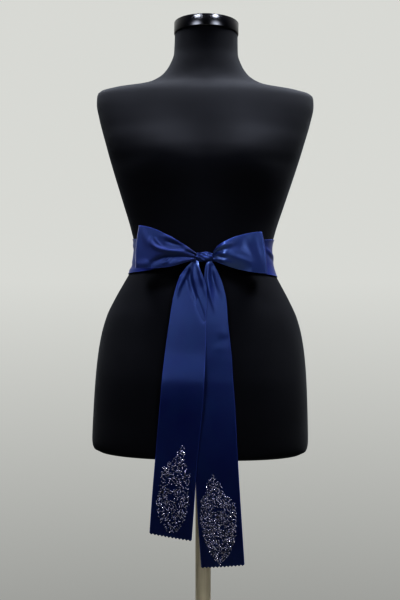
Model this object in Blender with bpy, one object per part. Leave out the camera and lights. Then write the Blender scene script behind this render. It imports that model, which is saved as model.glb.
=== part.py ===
"""A wide satin sash tied in a bow round a limbless dress form, at its real size.

Tables and named sizes are in millimetres, and the meshes are in metres with +Z up.
The front of the form faces -Y. The origin is on the floor, under the middle of the foot.
"""

from collections import namedtuple
from math import ceil, copysign, cos, exp, pi, radians, sin

import bmesh
import bpy
import numpy as np
from mathutils import Matrix, Vector

MM = 0.001

# Cloth
RIBBON_WIDTH = 70.0
TOOTH_PITCH = 5.8
TOOTH_DEPTH = 2.4
TEETH = round(RIBBON_WIDTH / TOOTH_PITCH)
CLOTH_WALL = 1.2
SEAM_GAP = 0.3

# Foot and pole
FOOT_RADIUS = 160.0
FOOT_THICKNESS = 9.0
SOCKET_RADIUS = 24.0
SOCKET_TOP = 38.0
POLE_RADIUS = 13.3
PLATE_RADIUS = 45.0
PLATE_THICKNESS = 4.0

# Torso: it stands on its pole a little out of true, tipped to +X about its waist
LEAN_DEGREES = 0.87
LEAN_HEIGHT = 1100.0
TORSO_BOTTOM = 738.0
NECK_TOP = 1463.0
TORSO_SEGMENTS = 48
TORSO_RING_SPACING = 21.0

Section = namedtuple("Section", "height half_width front back squareness")
TORSO_SECTIONS = (
    Section(TORSO_BOTTOM, 176.0, 103.0, 101.0, 2.35),
    Section(740.0, 181.5, 108.5, 106.5, 2.35),
    Section(745.0, 185.8, 111.5, 110.0, 2.35),
    Section(758.0, 187.6, 112.0, 112.0, 2.35),
    Section(800.0, 186.5, 112.5, 115.0, 2.3),
    Section(860.0, 183.6, 112.5, 115.0, 2.3),
    Section(900.0, 180.2, 110.8, 112.0, 2.25),
    Section(935.0, 175.0, 108.0, 106.0, 2.2),
    Section(970.0, 165.6, 104.5, 98.5, 2.2),
    Section(1003.0, 150.2, 100.5, 90.5, 2.15),
    Section(1031.0, 134.8, 96.0, 83.5, 2.15),
    Section(1046.0, 126.8, 93.0, 80.0, 2.15),
    Section(1064.0, 121.6, 90.2, 77.5, 2.15),
    Section(1090.0, 119.2, 88.5, 76.5, 2.15),
    Section(1116.0, 124.7, 89.5, 79.5, 2.15),
    Section(1171.0, 141.8, 97.0, 88.5, 2.2),
    Section(1228.0, 160.0, 105.5, 95.0, 2.2),
    Section(1270.0, 172.3, 107.5, 98.5, 2.2),
    Section(1311.0, 183.8, 101.0, 100.0, 2.2),
    Section(1340.0, 189.3, 87.0, 97.0, 2.1),
    Section(1354.0, 188.6, 78.0, 92.0, 2.0),
    Section(1361.0, 182.5, 73.5, 88.5, 1.85),
    Section(1365.0, 169.0, 71.0, 86.0, 1.7),
    Section(1368.7, 143.0, 68.5, 83.5, 1.6),
    Section(1374.0, 113.0, 66.0, 80.0, 1.6),
    Section(1380.8, 93.0, 63.5, 76.0, 1.65),
    Section(1390.8, 76.5, 60.5, 70.5, 1.8),
    Section(1408.0, 63.5, 57.5, 64.5, 1.95),
    Section(1430.0, 55.8, 54.8, 58.5, 2.0),
    Section(NECK_TOP, 54.8, 53.8, 56.0, 2.0),
)

# Bust: one soft mound on each side of the middle
BUST_ACROSS = 74.0
BUST_HEIGHT = 1262.0
BUST_DEPTH = 16.0
BUST_SPREAD_ACROSS = 46.0
BUST_SPREAD_UP = 52.0

# Neck cap
CAP_BOTTOM = NECK_TOP + SEAM_GAP
CAP_TOP = 1483.5
CAP_RADIUS = 56.3
CAP_SEGMENTS = 36
TURNED_SEGMENTS = 40

# Waist band: turn is in degrees from the front, positive towards +X
BAND_CLEARANCE = 1.0
BAND_COLUMNS = 72
BAND_ROWS = 6
BAND_FRONT_GATHER = 2.2
BAND_GATHER_WAVES = 2.0
BandRow = namedtuple("BandRow", "turn bottom top gather")
BAND_ROWS_TABLE = (
    BandRow(-180.0, 1038.0, 1105.0, 0.0),
    BandRow(-130.0, 1039.0, 1104.5, 0.0),
    BandRow(-90.0, 1043.0, 1104.0, 0.0),
    BandRow(-48.0, 1047.0, 1100.0, 0.2),
    BandRow(-26.0, 1052.0, 1092.0, 0.8),
    BandRow(-9.0, 1059.0, 1083.5, BAND_FRONT_GATHER),
    BandRow(9.0, 1059.0, 1083.5, BAND_FRONT_GATHER),
    BandRow(26.0, 1052.0, 1092.0, 0.8),
    BandRow(48.0, 1045.5, 1102.0, 0.2),
    BandRow(90.0, 1041.5, 1106.5, 0.0),
    BandRow(130.0, 1039.0, 1106.0, 0.0),
    BandRow(180.0, 1038.0, 1105.0, 0.0),
)

# A crease in the band runs from one turn and height to another
BandCrease = namedtuple("BandCrease", "turn_a height_a turn_b height_b lift spread")
BAND_CREASES = (
    BandCrease(58.0, 1089.0, 92.0, 1071.0, 2.2, 4.5),
    BandCrease(-100.0, 1094.0, -62.0, 1088.0, 1.4, 4.0),
    BandCrease(118.0, 1080.0, 166.0, 1062.0, 1.6, 5.0),
    BandCrease(-168.0, 1090.0, -118.0, 1070.0, 1.5, 5.0),
)

# Bow: places seen from the front, in the torso's own frame
KNOT_LEFT = -11.4
KNOT_RIGHT = 15.9
KNOT_HEIGHT = 1070.5
KNOT_HALF_TALL = 8.8
KNOT_HALF_DEEP = 8.4
KNOT_END_SHARE = 0.72
KNOT_END_ROUNDING = 0.6
KNOT_STRANDS = 3
KNOT_STRAND_DEPTH = 1.8
KNOT_TWIST_TURNS = 0.4
KNOT_COLUMNS = 12
KNOT_AROUND = 24

# Each rib of a loop runs straight from the lower edge to the upper edge of the ribbon.
# out is the distance from the middle, forward is the distance in front of the axis.
Rib = namedtuple("Rib", "low_out low_height high_out high_height forward pleat")
LOOP_LEFT_RIBS = (
    Rib(11.8, 1065.6, 11.8, 1076.4, 107.6, 1.1),
    Rib(22.0, 1062.6, 22.0, 1083.4, 113.0, 2.0),
    Rib(37.0, 1057.5, 36.0, 1092.2, 118.5, 2.4),
    Rib(61.0, 1051.7, 60.0, 1105.2, 117.0, 0.8),
    Rib(86.0, 1050.2, 83.5, 1115.6, 105.5, 0.2),
    Rib(104.0, 1050.6, 98.6, 1119.0, 93.0, 0.0),
    Rib(108.6, 1051.0, 102.8, 1119.3, 83.5, 0.0),
    Rib(103.5, 1052.0, 98.0, 1118.6, 75.5, 0.0),
    Rib(84.0, 1053.5, 82.0, 1114.0, 80.5, 0.2),
    Rib(60.0, 1055.5, 60.0, 1103.5, 89.5, 0.6),
    Rib(37.0, 1059.0, 36.5, 1091.2, 97.0, 1.2),
    Rib(22.0, 1063.0, 22.0, 1082.8, 100.2, 1.2),
    Rib(11.8, 1066.0, 11.8, 1076.0, 102.2, 0.8),
)
LOOP_RIGHT_RIBS = (
    Rib(16.3, 1065.2, 16.3, 1078.0, 107.6, 1.1),
    Rib(25.0, 1061.0, 23.5, 1088.0, 113.5, 2.0),
    Rib(38.0, 1056.2, 36.5, 1096.4, 119.0, 2.4),
    Rib(60.0, 1050.2, 58.0, 1105.2, 117.5, 0.8),
    Rib(85.0, 1045.5, 79.5, 1110.4, 105.0, 0.2),
    Rib(100.0, 1044.5, 90.8, 1111.6, 91.5, 0.0),
    Rib(103.8, 1044.3, 94.2, 1111.6, 82.5, 0.0),
    Rib(99.0, 1045.5, 90.0, 1111.0, 75.0, 0.0),
    Rib(82.0, 1048.5, 78.0, 1109.0, 80.5, 0.2),
    Rib(59.0, 1053.0, 57.5, 1103.8, 89.5, 0.6),
    Rib(38.0, 1058.0, 37.0, 1095.0, 97.0, 1.2),
    Rib(25.0, 1062.0, 24.0, 1086.8, 100.0, 1.2),
    Rib(16.3, 1065.8, 16.3, 1077.4, 102.2, 0.8),
)
LOOP_OUTER_BOW = 2.2
LOOP_REACH = 105.0
LOOP_PLEAT_WAVES = 2.5
LOOP_SPANS_ALONG = 28
LOOP_SPANS_ACROSS = 10

# A fold on a loop or tail is a soft ridge, or a trough where lift is negative,
# along an arc through three places seen from the front.
Fold = namedtuple("Fold", "x_a z_a x_b z_b x_c z_c lift spread")
FOLD_ARC_STEPS = 16
FOLD_END_SHARE = 0.35
LOOP_LEFT_FOLDS = (
    Fold(-82.9, 1098.0, -72.0, 1082.0, -26.0, 1080.5, 3.2, 4.2),
    Fold(-60.0, 1093.0, -45.0, 1088.5, -28.0, 1085.5, -2.6, 4.5),
    Fold(-70.0, 1053.0, -58.0, 1062.0, -28.0, 1068.0, 1.8, 5.0),
    Fold(-98.0, 1112.0, -86.0, 1090.0, -84.0, 1066.0, 1.4, 7.0),
)
LOOP_RIGHT_FOLDS = (
    Fold(19.0, 1077.0, 30.0, 1077.5, 42.0, 1078.5, -2.8, 3.4),
    Fold(19.0, 1070.5, 29.0, 1068.0, 38.0, 1064.5, -2.2, 3.2),
    Fold(18.0, 1074.0, 30.0, 1072.5, 40.0, 1069.0, 2.0, 2.6),
    Fold(20.0, 1081.0, 36.0, 1087.0, 56.0, 1095.0, 2.4, 4.5),
)

# Tails: edges seen from the front; clear is the distance in front of the torso
TailRow = namedtuple("TailRow", "height left right clear")
TAIL_LEFT_ROWS = (
    TailRow(1062.6, -16.5, -7.0, 15.0),
    TailRow(1054.6, -26.0, -6.0, 15.5),
    TailRow(1038.0, -37.0, 0.5, 13.5),
    TailRow(1019.0, -43.5, 6.4, 10.5),
    TailRow(999.0, -48.3, 6.8, 8.0),
    TailRow(967.0, -52.8, 6.4, 5.2),
    TailRow(935.0, -57.0, 6.7, 3.9),
    TailRow(902.0, -60.6, 6.3, 3.0),
    TailRow(870.0, -63.6, 5.2, 2.4),
    TailRow(838.0, -65.6, 3.6, 2.3),
    TailRow(806.0, -68.2, 1.6, 2.3),
    TailRow(773.0, -70.5, -1.4, 2.3),
    TailRow(731.0, -73.2, -5.0, 2.3),
    TailRow(680.0, -76.6, -7.6, 2.3),
    TailRow(616.5, -80.0, -11.4, 2.3),
)
TAIL_RIGHT_ROWS = (
    TailRow(1062.2, 5.0, 15.5, 14.5),
    TailRow(1052.0, 3.6, 21.2, 14.0),
    TailRow(1030.0, 1.5, 31.2, 10.5),
    TailRow(1000.0, -9.0, 39.0, 4.0),
    TailRow(968.0, -15.0, 41.8, 2.4),
    TailRow(936.0, -17.5, 45.6, 1.5),
    TailRow(904.0, -18.6, 49.4, 0.8),
    TailRow(872.0, -17.8, 51.6, 0.5),
    TailRow(839.0, -15.2, 54.8, 0.5),
    TailRow(807.0, -12.8, 57.2, 0.5),
    TailRow(775.0, -10.6, 59.3, 0.5),
    TailRow(740.0, -8.4, 61.6, 0.5),
    TailRow(682.0, -4.6, 65.9, 0.5),
    TailRow(630.0, -0.6, 70.0, 0.5),
    TailRow(570.0, 4.4, 74.8, 0.5),
)
TAIL_LEFT_FOLDS = (
    Fold(-16.0, 1060.0, -26.5, 1036.0, -14.0, 990.0, -4.6, 6.0),
    Fold(-20.0, 1056.0, -34.0, 1034.0, -42.0, 1004.0, 3.0, 5.5),
    Fold(-9.0, 1058.0, -3.0, 1040.0, 4.0, 1012.0, 2.6, 4.5),
)
TAIL_RIGHT_FOLDS = (
    Fold(9.3, 1059.0, 9.5, 1024.0, 20.0, 984.0, 3.6, 4.0),
    Fold(14.0, 1056.0, 18.0, 1030.0, 29.0, 1000.0, -2.8, 4.5),
)
HANG_HEIGHT = 800.0
LEFT_END_SLANT = -9.0
RIGHT_END_SLANT = 3.5
TAIL_SPANS_ALONG = 20
TAIL_SPAN_GROWTH = 1.15
END_SLANT_FADE = 4

Finish = namedtuple("Finish", "name color roughness metallic")
SATIN = Finish("navy_satin", (0.010, 0.022, 0.095), 0.38, 0.0)
FORM_COVER = Finish("black_form_cover", (0.006, 0.006, 0.008), 0.85, 0.0)
CAP_FINISH = Finish("black_cap", (0.006, 0.007, 0.012), 0.35, 0.0)
STEEL = Finish("polished_steel", (0.72, 0.70, 0.66), 0.22, 1.0)


def clear_scene():
    """Takes away the objects that a new file starts with."""
    for item in list(bpy.data.objects):
        bpy.data.objects.remove(item, do_unlink=True)


def material(finish):
    """One material for each finish, made once."""
    found = bpy.data.materials.get(finish.name)
    if found:
        return found
    made = bpy.data.materials.new(finish.name)
    made.use_nodes = True
    shader = made.node_tree.nodes["Principled BSDF"]
    shader.inputs["Base Color"].default_value = (*finish.color, 1.0)
    shader.inputs["Roughness"].default_value = finish.roughness
    shader.inputs["Metallic"].default_value = finish.metallic
    return made


def smooth_column(rows, key, column):
    """A curve through one column of a table, smooth and with no overshoot between rows."""
    at = np.array([getattr(row, key) for row in rows], float)
    value = np.array([getattr(row, column) for row in rows], float)
    return smooth_curve(at, value)


def smooth_curve(at, value):
    """A monotone cubic curve through the given values."""
    step = np.diff(at)
    slope = np.diff(value) / step
    tangent = np.zeros_like(value)
    tangent[0] = slope[0]
    tangent[-1] = slope[-1]
    for i in range(1, len(at) - 1):
        before, after = slope[i - 1], slope[i]
        if before * after > 0:
            tangent[i] = 2 * before * after / (before + after)

    def curve(place):
        place = min(max(place, at[0]), at[-1])
        i = min(int(np.searchsorted(at, place, side="right")) - 1, len(at) - 2)
        t = (place - at[i]) / step[i]
        rise = t * t * (3 - 2 * t)
        leave = t * (1 - t) ** 2 * step[i] * tangent[i]
        arrive = t * t * (t - 1) * step[i] * tangent[i + 1]
        return float(value[i] + rise * (value[i + 1] - value[i]) + leave + arrive)

    return curve


def table_curves(rows, key):
    """A smooth curve for each column of a table but its key."""
    names = [name for name in rows[0]._fields if name != key]
    return {name: smooth_column(rows, key, name) for name in names}


def in_reverse(rows, key):
    """The rows of a table that runs downwards, with its key rising."""
    return tuple(sorted(rows, key=lambda row: getattr(row, key)))


TORSO = table_curves(TORSO_SECTIONS, "height")


def bust_lift(across, height):
    """How far the bust stands out in front of the plain torso."""
    side = (abs(across) - BUST_ACROSS) / BUST_SPREAD_ACROSS
    up = (height - BUST_HEIGHT) / BUST_SPREAD_UP
    return BUST_DEPTH * exp(-side * side - up * up)


def torso_point(height, turn, outset=0.0):
    """The torso's surface at a height and a turn from the front, moved out level by outset."""
    square = TORSO["squareness"](height)
    width = TORSO["half_width"](height)
    ahead, aside = cos(turn), sin(turn)
    depth = TORSO["front"](height) if ahead > 0 else TORSO["back"](height)
    x = copysign(width * abs(aside) ** (2 / square), aside)
    y = copysign(depth * abs(ahead) ** (2 / square), -ahead)
    normal = Vector((
        copysign(abs(x / width) ** (square - 1) / width, x),
        copysign(abs(y / depth) ** (square - 1) / depth, y),
        0.0,
    )).normalized()
    if ahead > 0:
        y -= bust_lift(x, height) * ahead ** 0.5
    return Vector((x, y, height)) + normal * outset


def torso_front(across, height):
    """How far in front of the axis the torso's surface is at one place."""
    square = TORSO["squareness"](height)
    share = min(abs(across) / TORSO["half_width"](height), 1.0)
    return TORSO["front"](height) * (1 - share ** square) ** (1 / square)


def levels(rows, key, spacing):
    """The table's own places, with more between them where they are far apart."""
    places = [getattr(row, key) for row in rows]
    result = [places[0]]
    for low, high in zip(places[:-1], places[1:]):
        steps = max(1, ceil((high - low) / spacing))
        result += [low + (high - low) * i / steps for i in range(1, steps + 1)]
    return result


def finished(name, builder, finish, smooth=True):
    """Turns a bmesh in millimetres into a named object in metres."""
    bmesh.ops.scale(builder, vec=(MM, MM, MM), verts=builder.verts)
    bmesh.ops.recalc_face_normals(builder, faces=builder.faces)
    mesh = bpy.data.meshes.new(name)
    builder.to_mesh(mesh)
    builder.free()
    if smooth:
        mesh.shade_smooth()
        mesh.set_sharp_from_angle(angle=radians(40))
    mesh.materials.append(material(finish))
    made = bpy.data.objects.new(name, mesh)
    bpy.context.scene.collection.objects.link(made)
    return made


def closed_loft(name, rings, finish):
    """A solid through rings of points, each joined to the next, with flat ends."""
    builder = bmesh.new()
    rows = [[builder.verts.new(point) for point in ring] for ring in rings]
    for lower, upper in zip(rows[:-1], rows[1:]):
        for i in range(len(lower)):
            j = (i + 1) % len(lower)
            builder.faces.new((lower[i], lower[j], upper[j], upper[i]))
    builder.faces.new(list(reversed(rows[0])))
    builder.faces.new(rows[-1])
    return finished(name, builder, finish)


def turned(name, profile, finish, segments=TURNED_SEGMENTS):
    """A solid turned round the upright axis through radius and height pairs."""
    rings = []
    for radius, height in profile:
        turns = [2 * pi * i / segments for i in range(segments)]
        rings.append([Vector((radius * cos(t), radius * sin(t), height)) for t in turns])
    return closed_loft(name, rings, finish)


def cloth_wall(name, grid, finish, closed=False, tips=None):
    """A cloth wall about a grid of points. tips adds one tooth to each column's last row."""
    builder = bmesh.new()
    rows = [[builder.verts.new(point) for point in row] for row in grid]
    columns = len(rows[0])
    spans = columns if closed else columns - 1
    for upper, lower in zip(rows[:-1], rows[1:]):
        for i in range(spans):
            j = (i + 1) % columns
            builder.faces.new((upper[i], lower[i], lower[j], upper[j]))
    for i, tip in enumerate(tips or []):
        builder.faces.new((rows[-1][i], builder.verts.new(tip), rows[-1][i + 1]))
    sheet = finished(name, builder, finish)
    wall = sheet.modifiers.new("wall", "SOLIDIFY")
    wall.thickness = CLOTH_WALL * MM
    wall.offset = 0.0
    return sheet


def arc_point(fold, share):
    """A place on a fold's arc, which passes through the middle of its three places."""
    start, middle, end = (1 - share) ** 2, 2 * share * (1 - share), share ** 2
    pull_x = 2 * fold.x_b - (fold.x_a + fold.x_c) / 2
    pull_z = 2 * fold.z_b - (fold.z_a + fold.z_c) / 2
    x = start * fold.x_a + middle * pull_x + end * fold.x_c
    z = start * fold.z_a + middle * pull_z + end * fold.z_c
    return x, z


def fold_lift(folds, x, z):
    """How far the folds raise the cloth at a place seen from the front."""
    total = 0.0
    for fold in folds:
        shares = [i / FOLD_ARC_STEPS for i in range(FOLD_ARC_STEPS + 1)]
        places = [(Vector(arc_point(fold, share)) - Vector((x, z)), share) for share in shares]
        offset, share = min(places, key=lambda place: place[0].length)
        fade = FOLD_END_SHARE + (1 - FOLD_END_SHARE) * sin(pi * share)
        total += fold.lift * fade * exp(-(offset.length / fold.spread) ** 2)
    return total


def band_crease_lift(turn, height):
    """How far the creases raise the waist band at one place."""
    total = 0.0
    for crease in BAND_CREASES:
        share = (turn - crease.turn_a) / (crease.turn_b - crease.turn_a)
        if 0 < share < 1:
            middle = crease.height_a + (crease.height_b - crease.height_a) * share
            off = (height - middle) / crease.spread
            total += crease.lift * sin(pi * share) * exp(-off * off)
    return total


def make_torso():
    """The padded body and neck, as one smooth solid."""
    rings = []
    for height in levels(TORSO_SECTIONS, "height", TORSO_RING_SPACING):
        turns = [2 * pi * i / TORSO_SEGMENTS for i in range(TORSO_SEGMENTS)]
        rings.append([torso_point(height, turn) for turn in turns])
    return closed_loft("torso", rings, FORM_COVER)


def make_neck_cap():
    """The round cap, with a narrow lip at its foot and a soft top edge."""
    profile = (
        (CAP_RADIUS - 1.2, CAP_BOTTOM),
        (CAP_RADIUS, CAP_BOTTOM + 1.2),
        (CAP_RADIUS, CAP_TOP - 2.6),
        (CAP_RADIUS - 0.8, CAP_TOP - 0.8),
        (CAP_RADIUS - 2.6, CAP_TOP),
    )
    return turned("neck_cap", profile, CAP_FINISH, CAP_SEGMENTS)


def make_torso_plate():
    """The plate under the torso that carries it on the pole."""
    top = TORSO_BOTTOM - SEAM_GAP
    profile = (
        (PLATE_RADIUS - 1.0, top - PLATE_THICKNESS),
        (PLATE_RADIUS, top - PLATE_THICKNESS + 1.0),
        (PLATE_RADIUS, top),
    )
    return turned("torso_plate", profile, STEEL)


def make_pole():
    """The upright pole, from the foot's socket to the plate."""
    tilt_room = POLE_RADIUS * sin(radians(LEAN_DEGREES))
    top = TORSO_BOTTOM - SEAM_GAP - PLATE_THICKNESS - SEAM_GAP - tilt_room
    profile = ((POLE_RADIUS, SOCKET_TOP + SEAM_GAP), (POLE_RADIUS, top))
    return turned("pole", profile, STEEL)


def make_base():
    """The round foot with its socket, flat underneath."""
    profile = (
        (FOOT_RADIUS - 1.5, 0.0),
        (FOOT_RADIUS, 1.5),
        (FOOT_RADIUS, FOOT_THICKNESS - 3.0),
        (FOOT_RADIUS - 3.0, FOOT_THICKNESS),
        (SOCKET_RADIUS + 14.0, FOOT_THICKNESS + 3.0),
        (SOCKET_RADIUS + 3.0, FOOT_THICKNESS + 6.5),
        (SOCKET_RADIUS, FOOT_THICKNESS + 12.0),
        (SOCKET_RADIUS, SOCKET_TOP - 3.0),
        (SOCKET_RADIUS - 3.0, SOCKET_TOP),
    )
    return turned("base", profile, STEEL)


def band_point(turn, share, curves):
    """The middle of the band's wall at a turn in degrees and a share of its width."""
    bottom, top = curves["bottom"](turn), curves["top"](turn)
    height = bottom + (top - bottom) * share
    gather = curves["gather"](turn) * (1 + cos(2 * pi * BAND_GATHER_WAVES * share))
    out = BAND_CLEARANCE + CLOTH_WALL / 2 + gather + band_crease_lift(turn, height)
    return torso_point(height, radians(turn), out)


def make_waist_band():
    """The ribbon round the waist, gathered behind the knot."""
    curves = table_curves(BAND_ROWS_TABLE, "turn")
    turns = [-180 + 360 * i / BAND_COLUMNS for i in range(BAND_COLUMNS)]
    grid = [[band_point(turn, 1 - row / BAND_ROWS, curves) for turn in turns]
            for row in range(BAND_ROWS + 1)]
    return cloth_wall("waist_band", grid, SATIN, closed=True)


def knot_forward():
    """How far in front of the axis the middle of the knot is, just clear of the band."""
    band_wall = BAND_CLEARANCE + CLOTH_WALL + 2 * BAND_FRONT_GATHER
    band_face = torso_front(0.0, KNOT_HEIGHT) + band_wall
    return band_face + SEAM_GAP + KNOT_HALF_DEEP


def make_knot():
    """The wrap over the middle of the bow, a short roll of twisted strands."""
    forward = knot_forward()
    rings = []
    for i in range(KNOT_COLUMNS + 1):
        share = i / KNOT_COLUMNS
        x = KNOT_LEFT + (KNOT_RIGHT - KNOT_LEFT) * share
        swell = KNOT_END_SHARE + (1 - KNOT_END_SHARE) * sin(pi * share) ** KNOT_END_ROUNDING
        ring = []
        for j in range(KNOT_AROUND):
            around = 2 * pi * j / KNOT_AROUND
            strand = cos(KNOT_STRANDS * (around - 2 * pi * KNOT_TWIST_TURNS * share))
            tall = swell * KNOT_HALF_TALL + KNOT_STRAND_DEPTH * (strand - 1) / 2
            deep = swell * KNOT_HALF_DEEP + KNOT_STRAND_DEPTH * (strand - 1) / 2
            ring.append(Vector((x, -forward - deep * cos(around), KNOT_HEIGHT + tall * sin(around))))
        rings.append(ring)
    return closed_loft("knot", rings, SATIN)


def rib_stations(ribs):
    """Distances along the ribbon's middle from the first rib to each other one."""
    places = [((rib.low_out + rib.high_out) / 2, rib.forward) for rib in ribs]
    stations = [0.0]
    for before, after in zip(places[:-1], places[1:]):
        gap = ((after[0] - before[0]) ** 2 + (after[1] - before[1]) ** 2) ** 0.5
        stations.append(stations[-1] + gap)
    return np.array(stations)


def loop_curves(ribs):
    """The length of a loop and a curve along it for each column of its ribs."""
    stations = rib_stations(ribs)
    columns = {name: np.array([getattr(rib, name) for rib in ribs], float) for name in Rib._fields}
    return stations[-1], {name: smooth_curve(stations, value) for name, value in columns.items()}


def loop_point(curves, place, across, side, folds, front):
    """The middle of a loop's wall, place along it and across from -1 at its lower edge to 1."""
    low_out, high_out = curves["low_out"](place), curves["high_out"](place)
    low, high = curves["low_height"](place), curves["high_height"](place)
    share = (across + 1) / 2
    reach = (low_out + high_out) / 2 / LOOP_REACH
    out = low_out + (high_out - low_out) * share + LOOP_OUTER_BOW * reach ** 2 * (1 - across ** 2)
    height = low + (high - low) * share
    x = side * out
    forward = curves["forward"](place)
    forward += curves["pleat"](place) * cos(pi * LOOP_PLEAT_WAVES * across)
    if front:
        forward += fold_lift(folds, x, height)
    return Vector((x, -forward, height))


def make_loop(name, ribs, side, folds):
    """One loop of the bow: out from the knot, round the fold and back behind itself."""
    length, curves = loop_curves(ribs)
    middle = length / 2
    grid = []
    for i in range(LOOP_SPANS_ALONG + 1):
        place = length * i / LOOP_SPANS_ALONG
        front = place < middle
        row = []
        for j in range(LOOP_SPANS_ACROSS + 1):
            across = -1 + 2 * j / LOOP_SPANS_ACROSS
            row.append(loop_point(curves, place, across, side, folds, front))
        grid.append(row)
    return cloth_wall(name, grid, SATIN)


def tail_point(curves, height, share, folds, drop=0.0):
    """The middle of a tail's wall, which lies on the torso and then hangs straight down."""
    left, right = curves["left"](height), curves["right"](height)
    x = left + (right - left) * share
    forward = torso_front(x, max(height, HANG_HEIGHT)) + curves["clear"](height)
    forward += CLOTH_WALL / 2 + fold_lift(folds, x, height)
    return Vector((x, -forward, height - drop))


def tail_end_drop(share, slant, height, rows):
    """How much lower the slanted end is at one share of the width, fading up the tail."""
    top, bottom = rows[0].height, rows[-1].height
    near_end = max(0.0, (top - height) / (top - bottom))
    return -slant * (share - 0.5) * near_end ** END_SLANT_FADE


def make_tail(name, rows, folds, slant):
    """One hanging end, with a pinked tooth at the foot of each column."""
    curves = table_curves(in_reverse(rows, "height"), "height")
    top, bottom = rows[0].height, rows[-1].height
    grid = []
    for i in range(TAIL_SPANS_ALONG + 1):
        height = top + (bottom - top) * (i / TAIL_SPANS_ALONG) ** TAIL_SPAN_GROWTH
        shares = [j / TEETH for j in range(TEETH + 1)]
        grid.append([
            tail_point(curves, height, s, folds, tail_end_drop(s, slant, height, rows))
            for s in shares
        ])
    tips = []
    for j in range(TEETH):
        share = (j + 0.5) / TEETH
        drop = tail_end_drop(share, slant, bottom, rows) + TOOTH_DEPTH
        tips.append(tail_point(curves, bottom, share, folds, drop))
    return cloth_wall(name, grid, SATIN, tips=tips)


def lean(pieces):
    """Tips the torso and all that it carries about the waist, by way of one empty."""
    axis = bpy.data.objects.new("form_axis", None)
    bpy.context.scene.collection.objects.link(axis)
    axis.location = (0.0, 0.0, LEAN_HEIGHT * MM)
    axis.rotation_euler = (0.0, radians(LEAN_DEGREES), 0.0)
    for piece in pieces:
        piece.parent = axis
        piece.matrix_parent_inverse = Matrix.Translation((0.0, 0.0, -LEAN_HEIGHT * MM))


def main():
    clear_scene()
    make_base()
    make_pole()
    carried = [
        make_torso_plate(),
        make_torso(),
        make_neck_cap(),
        make_waist_band(),
        make_loop("loop_left", LOOP_LEFT_RIBS, -1, LOOP_LEFT_FOLDS),
        make_loop("loop_right", LOOP_RIGHT_RIBS, 1, LOOP_RIGHT_FOLDS),
        make_knot(),
        make_tail("tail_left", TAIL_LEFT_ROWS, TAIL_LEFT_FOLDS, LEFT_END_SLANT),
        make_tail("tail_right", TAIL_RIGHT_ROWS, TAIL_RIGHT_FOLDS, RIGHT_END_SLANT),
    ]
    lean(carried)


main()
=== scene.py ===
"""The looks of a navy satin sash tied in a bow round a black limbless dress form.

Tables and named sizes are in millimetres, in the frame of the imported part: +Z is up and the
front of the form faces -Y. The form and all that it carries lean a little to +X about the
waist. The meshes are in metres.
"""

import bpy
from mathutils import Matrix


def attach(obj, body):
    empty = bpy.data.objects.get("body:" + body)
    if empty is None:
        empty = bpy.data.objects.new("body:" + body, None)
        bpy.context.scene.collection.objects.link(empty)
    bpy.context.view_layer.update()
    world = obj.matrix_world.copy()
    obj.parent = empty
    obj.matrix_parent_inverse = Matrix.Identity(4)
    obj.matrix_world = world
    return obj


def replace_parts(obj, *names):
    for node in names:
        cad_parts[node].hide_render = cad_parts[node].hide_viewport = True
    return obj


bl_info = {
    "name": "Satin sash on a dress form",
    "version": (1, 0, 0),
    "blender": (4, 5, 0),
    "location": "3D View > Sidebar > Sash",
    "description": "Models a tied satin sash with beaded ends, its dress form and a plain studio",
    "category": "Add Mesh",
}

from collections import namedtuple
from math import cos, pi, radians, sin
from random import Random

import bmesh
import bpy
import numpy as np
from bpy.props import FloatProperty, FloatVectorProperty, IntProperty, PointerProperty
from mathutils import Matrix, Vector

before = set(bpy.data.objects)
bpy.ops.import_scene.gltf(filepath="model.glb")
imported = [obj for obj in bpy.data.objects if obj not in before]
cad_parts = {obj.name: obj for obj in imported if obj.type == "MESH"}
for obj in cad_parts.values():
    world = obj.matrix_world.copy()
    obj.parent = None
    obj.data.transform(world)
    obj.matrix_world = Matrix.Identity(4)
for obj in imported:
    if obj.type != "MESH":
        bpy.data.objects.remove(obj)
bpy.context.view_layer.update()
BODY = "root"
MM = 0.001

# The form leans about its waist
LEAN_DEGREES = 0.87
LEAN_HEIGHT = 1100.0

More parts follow.
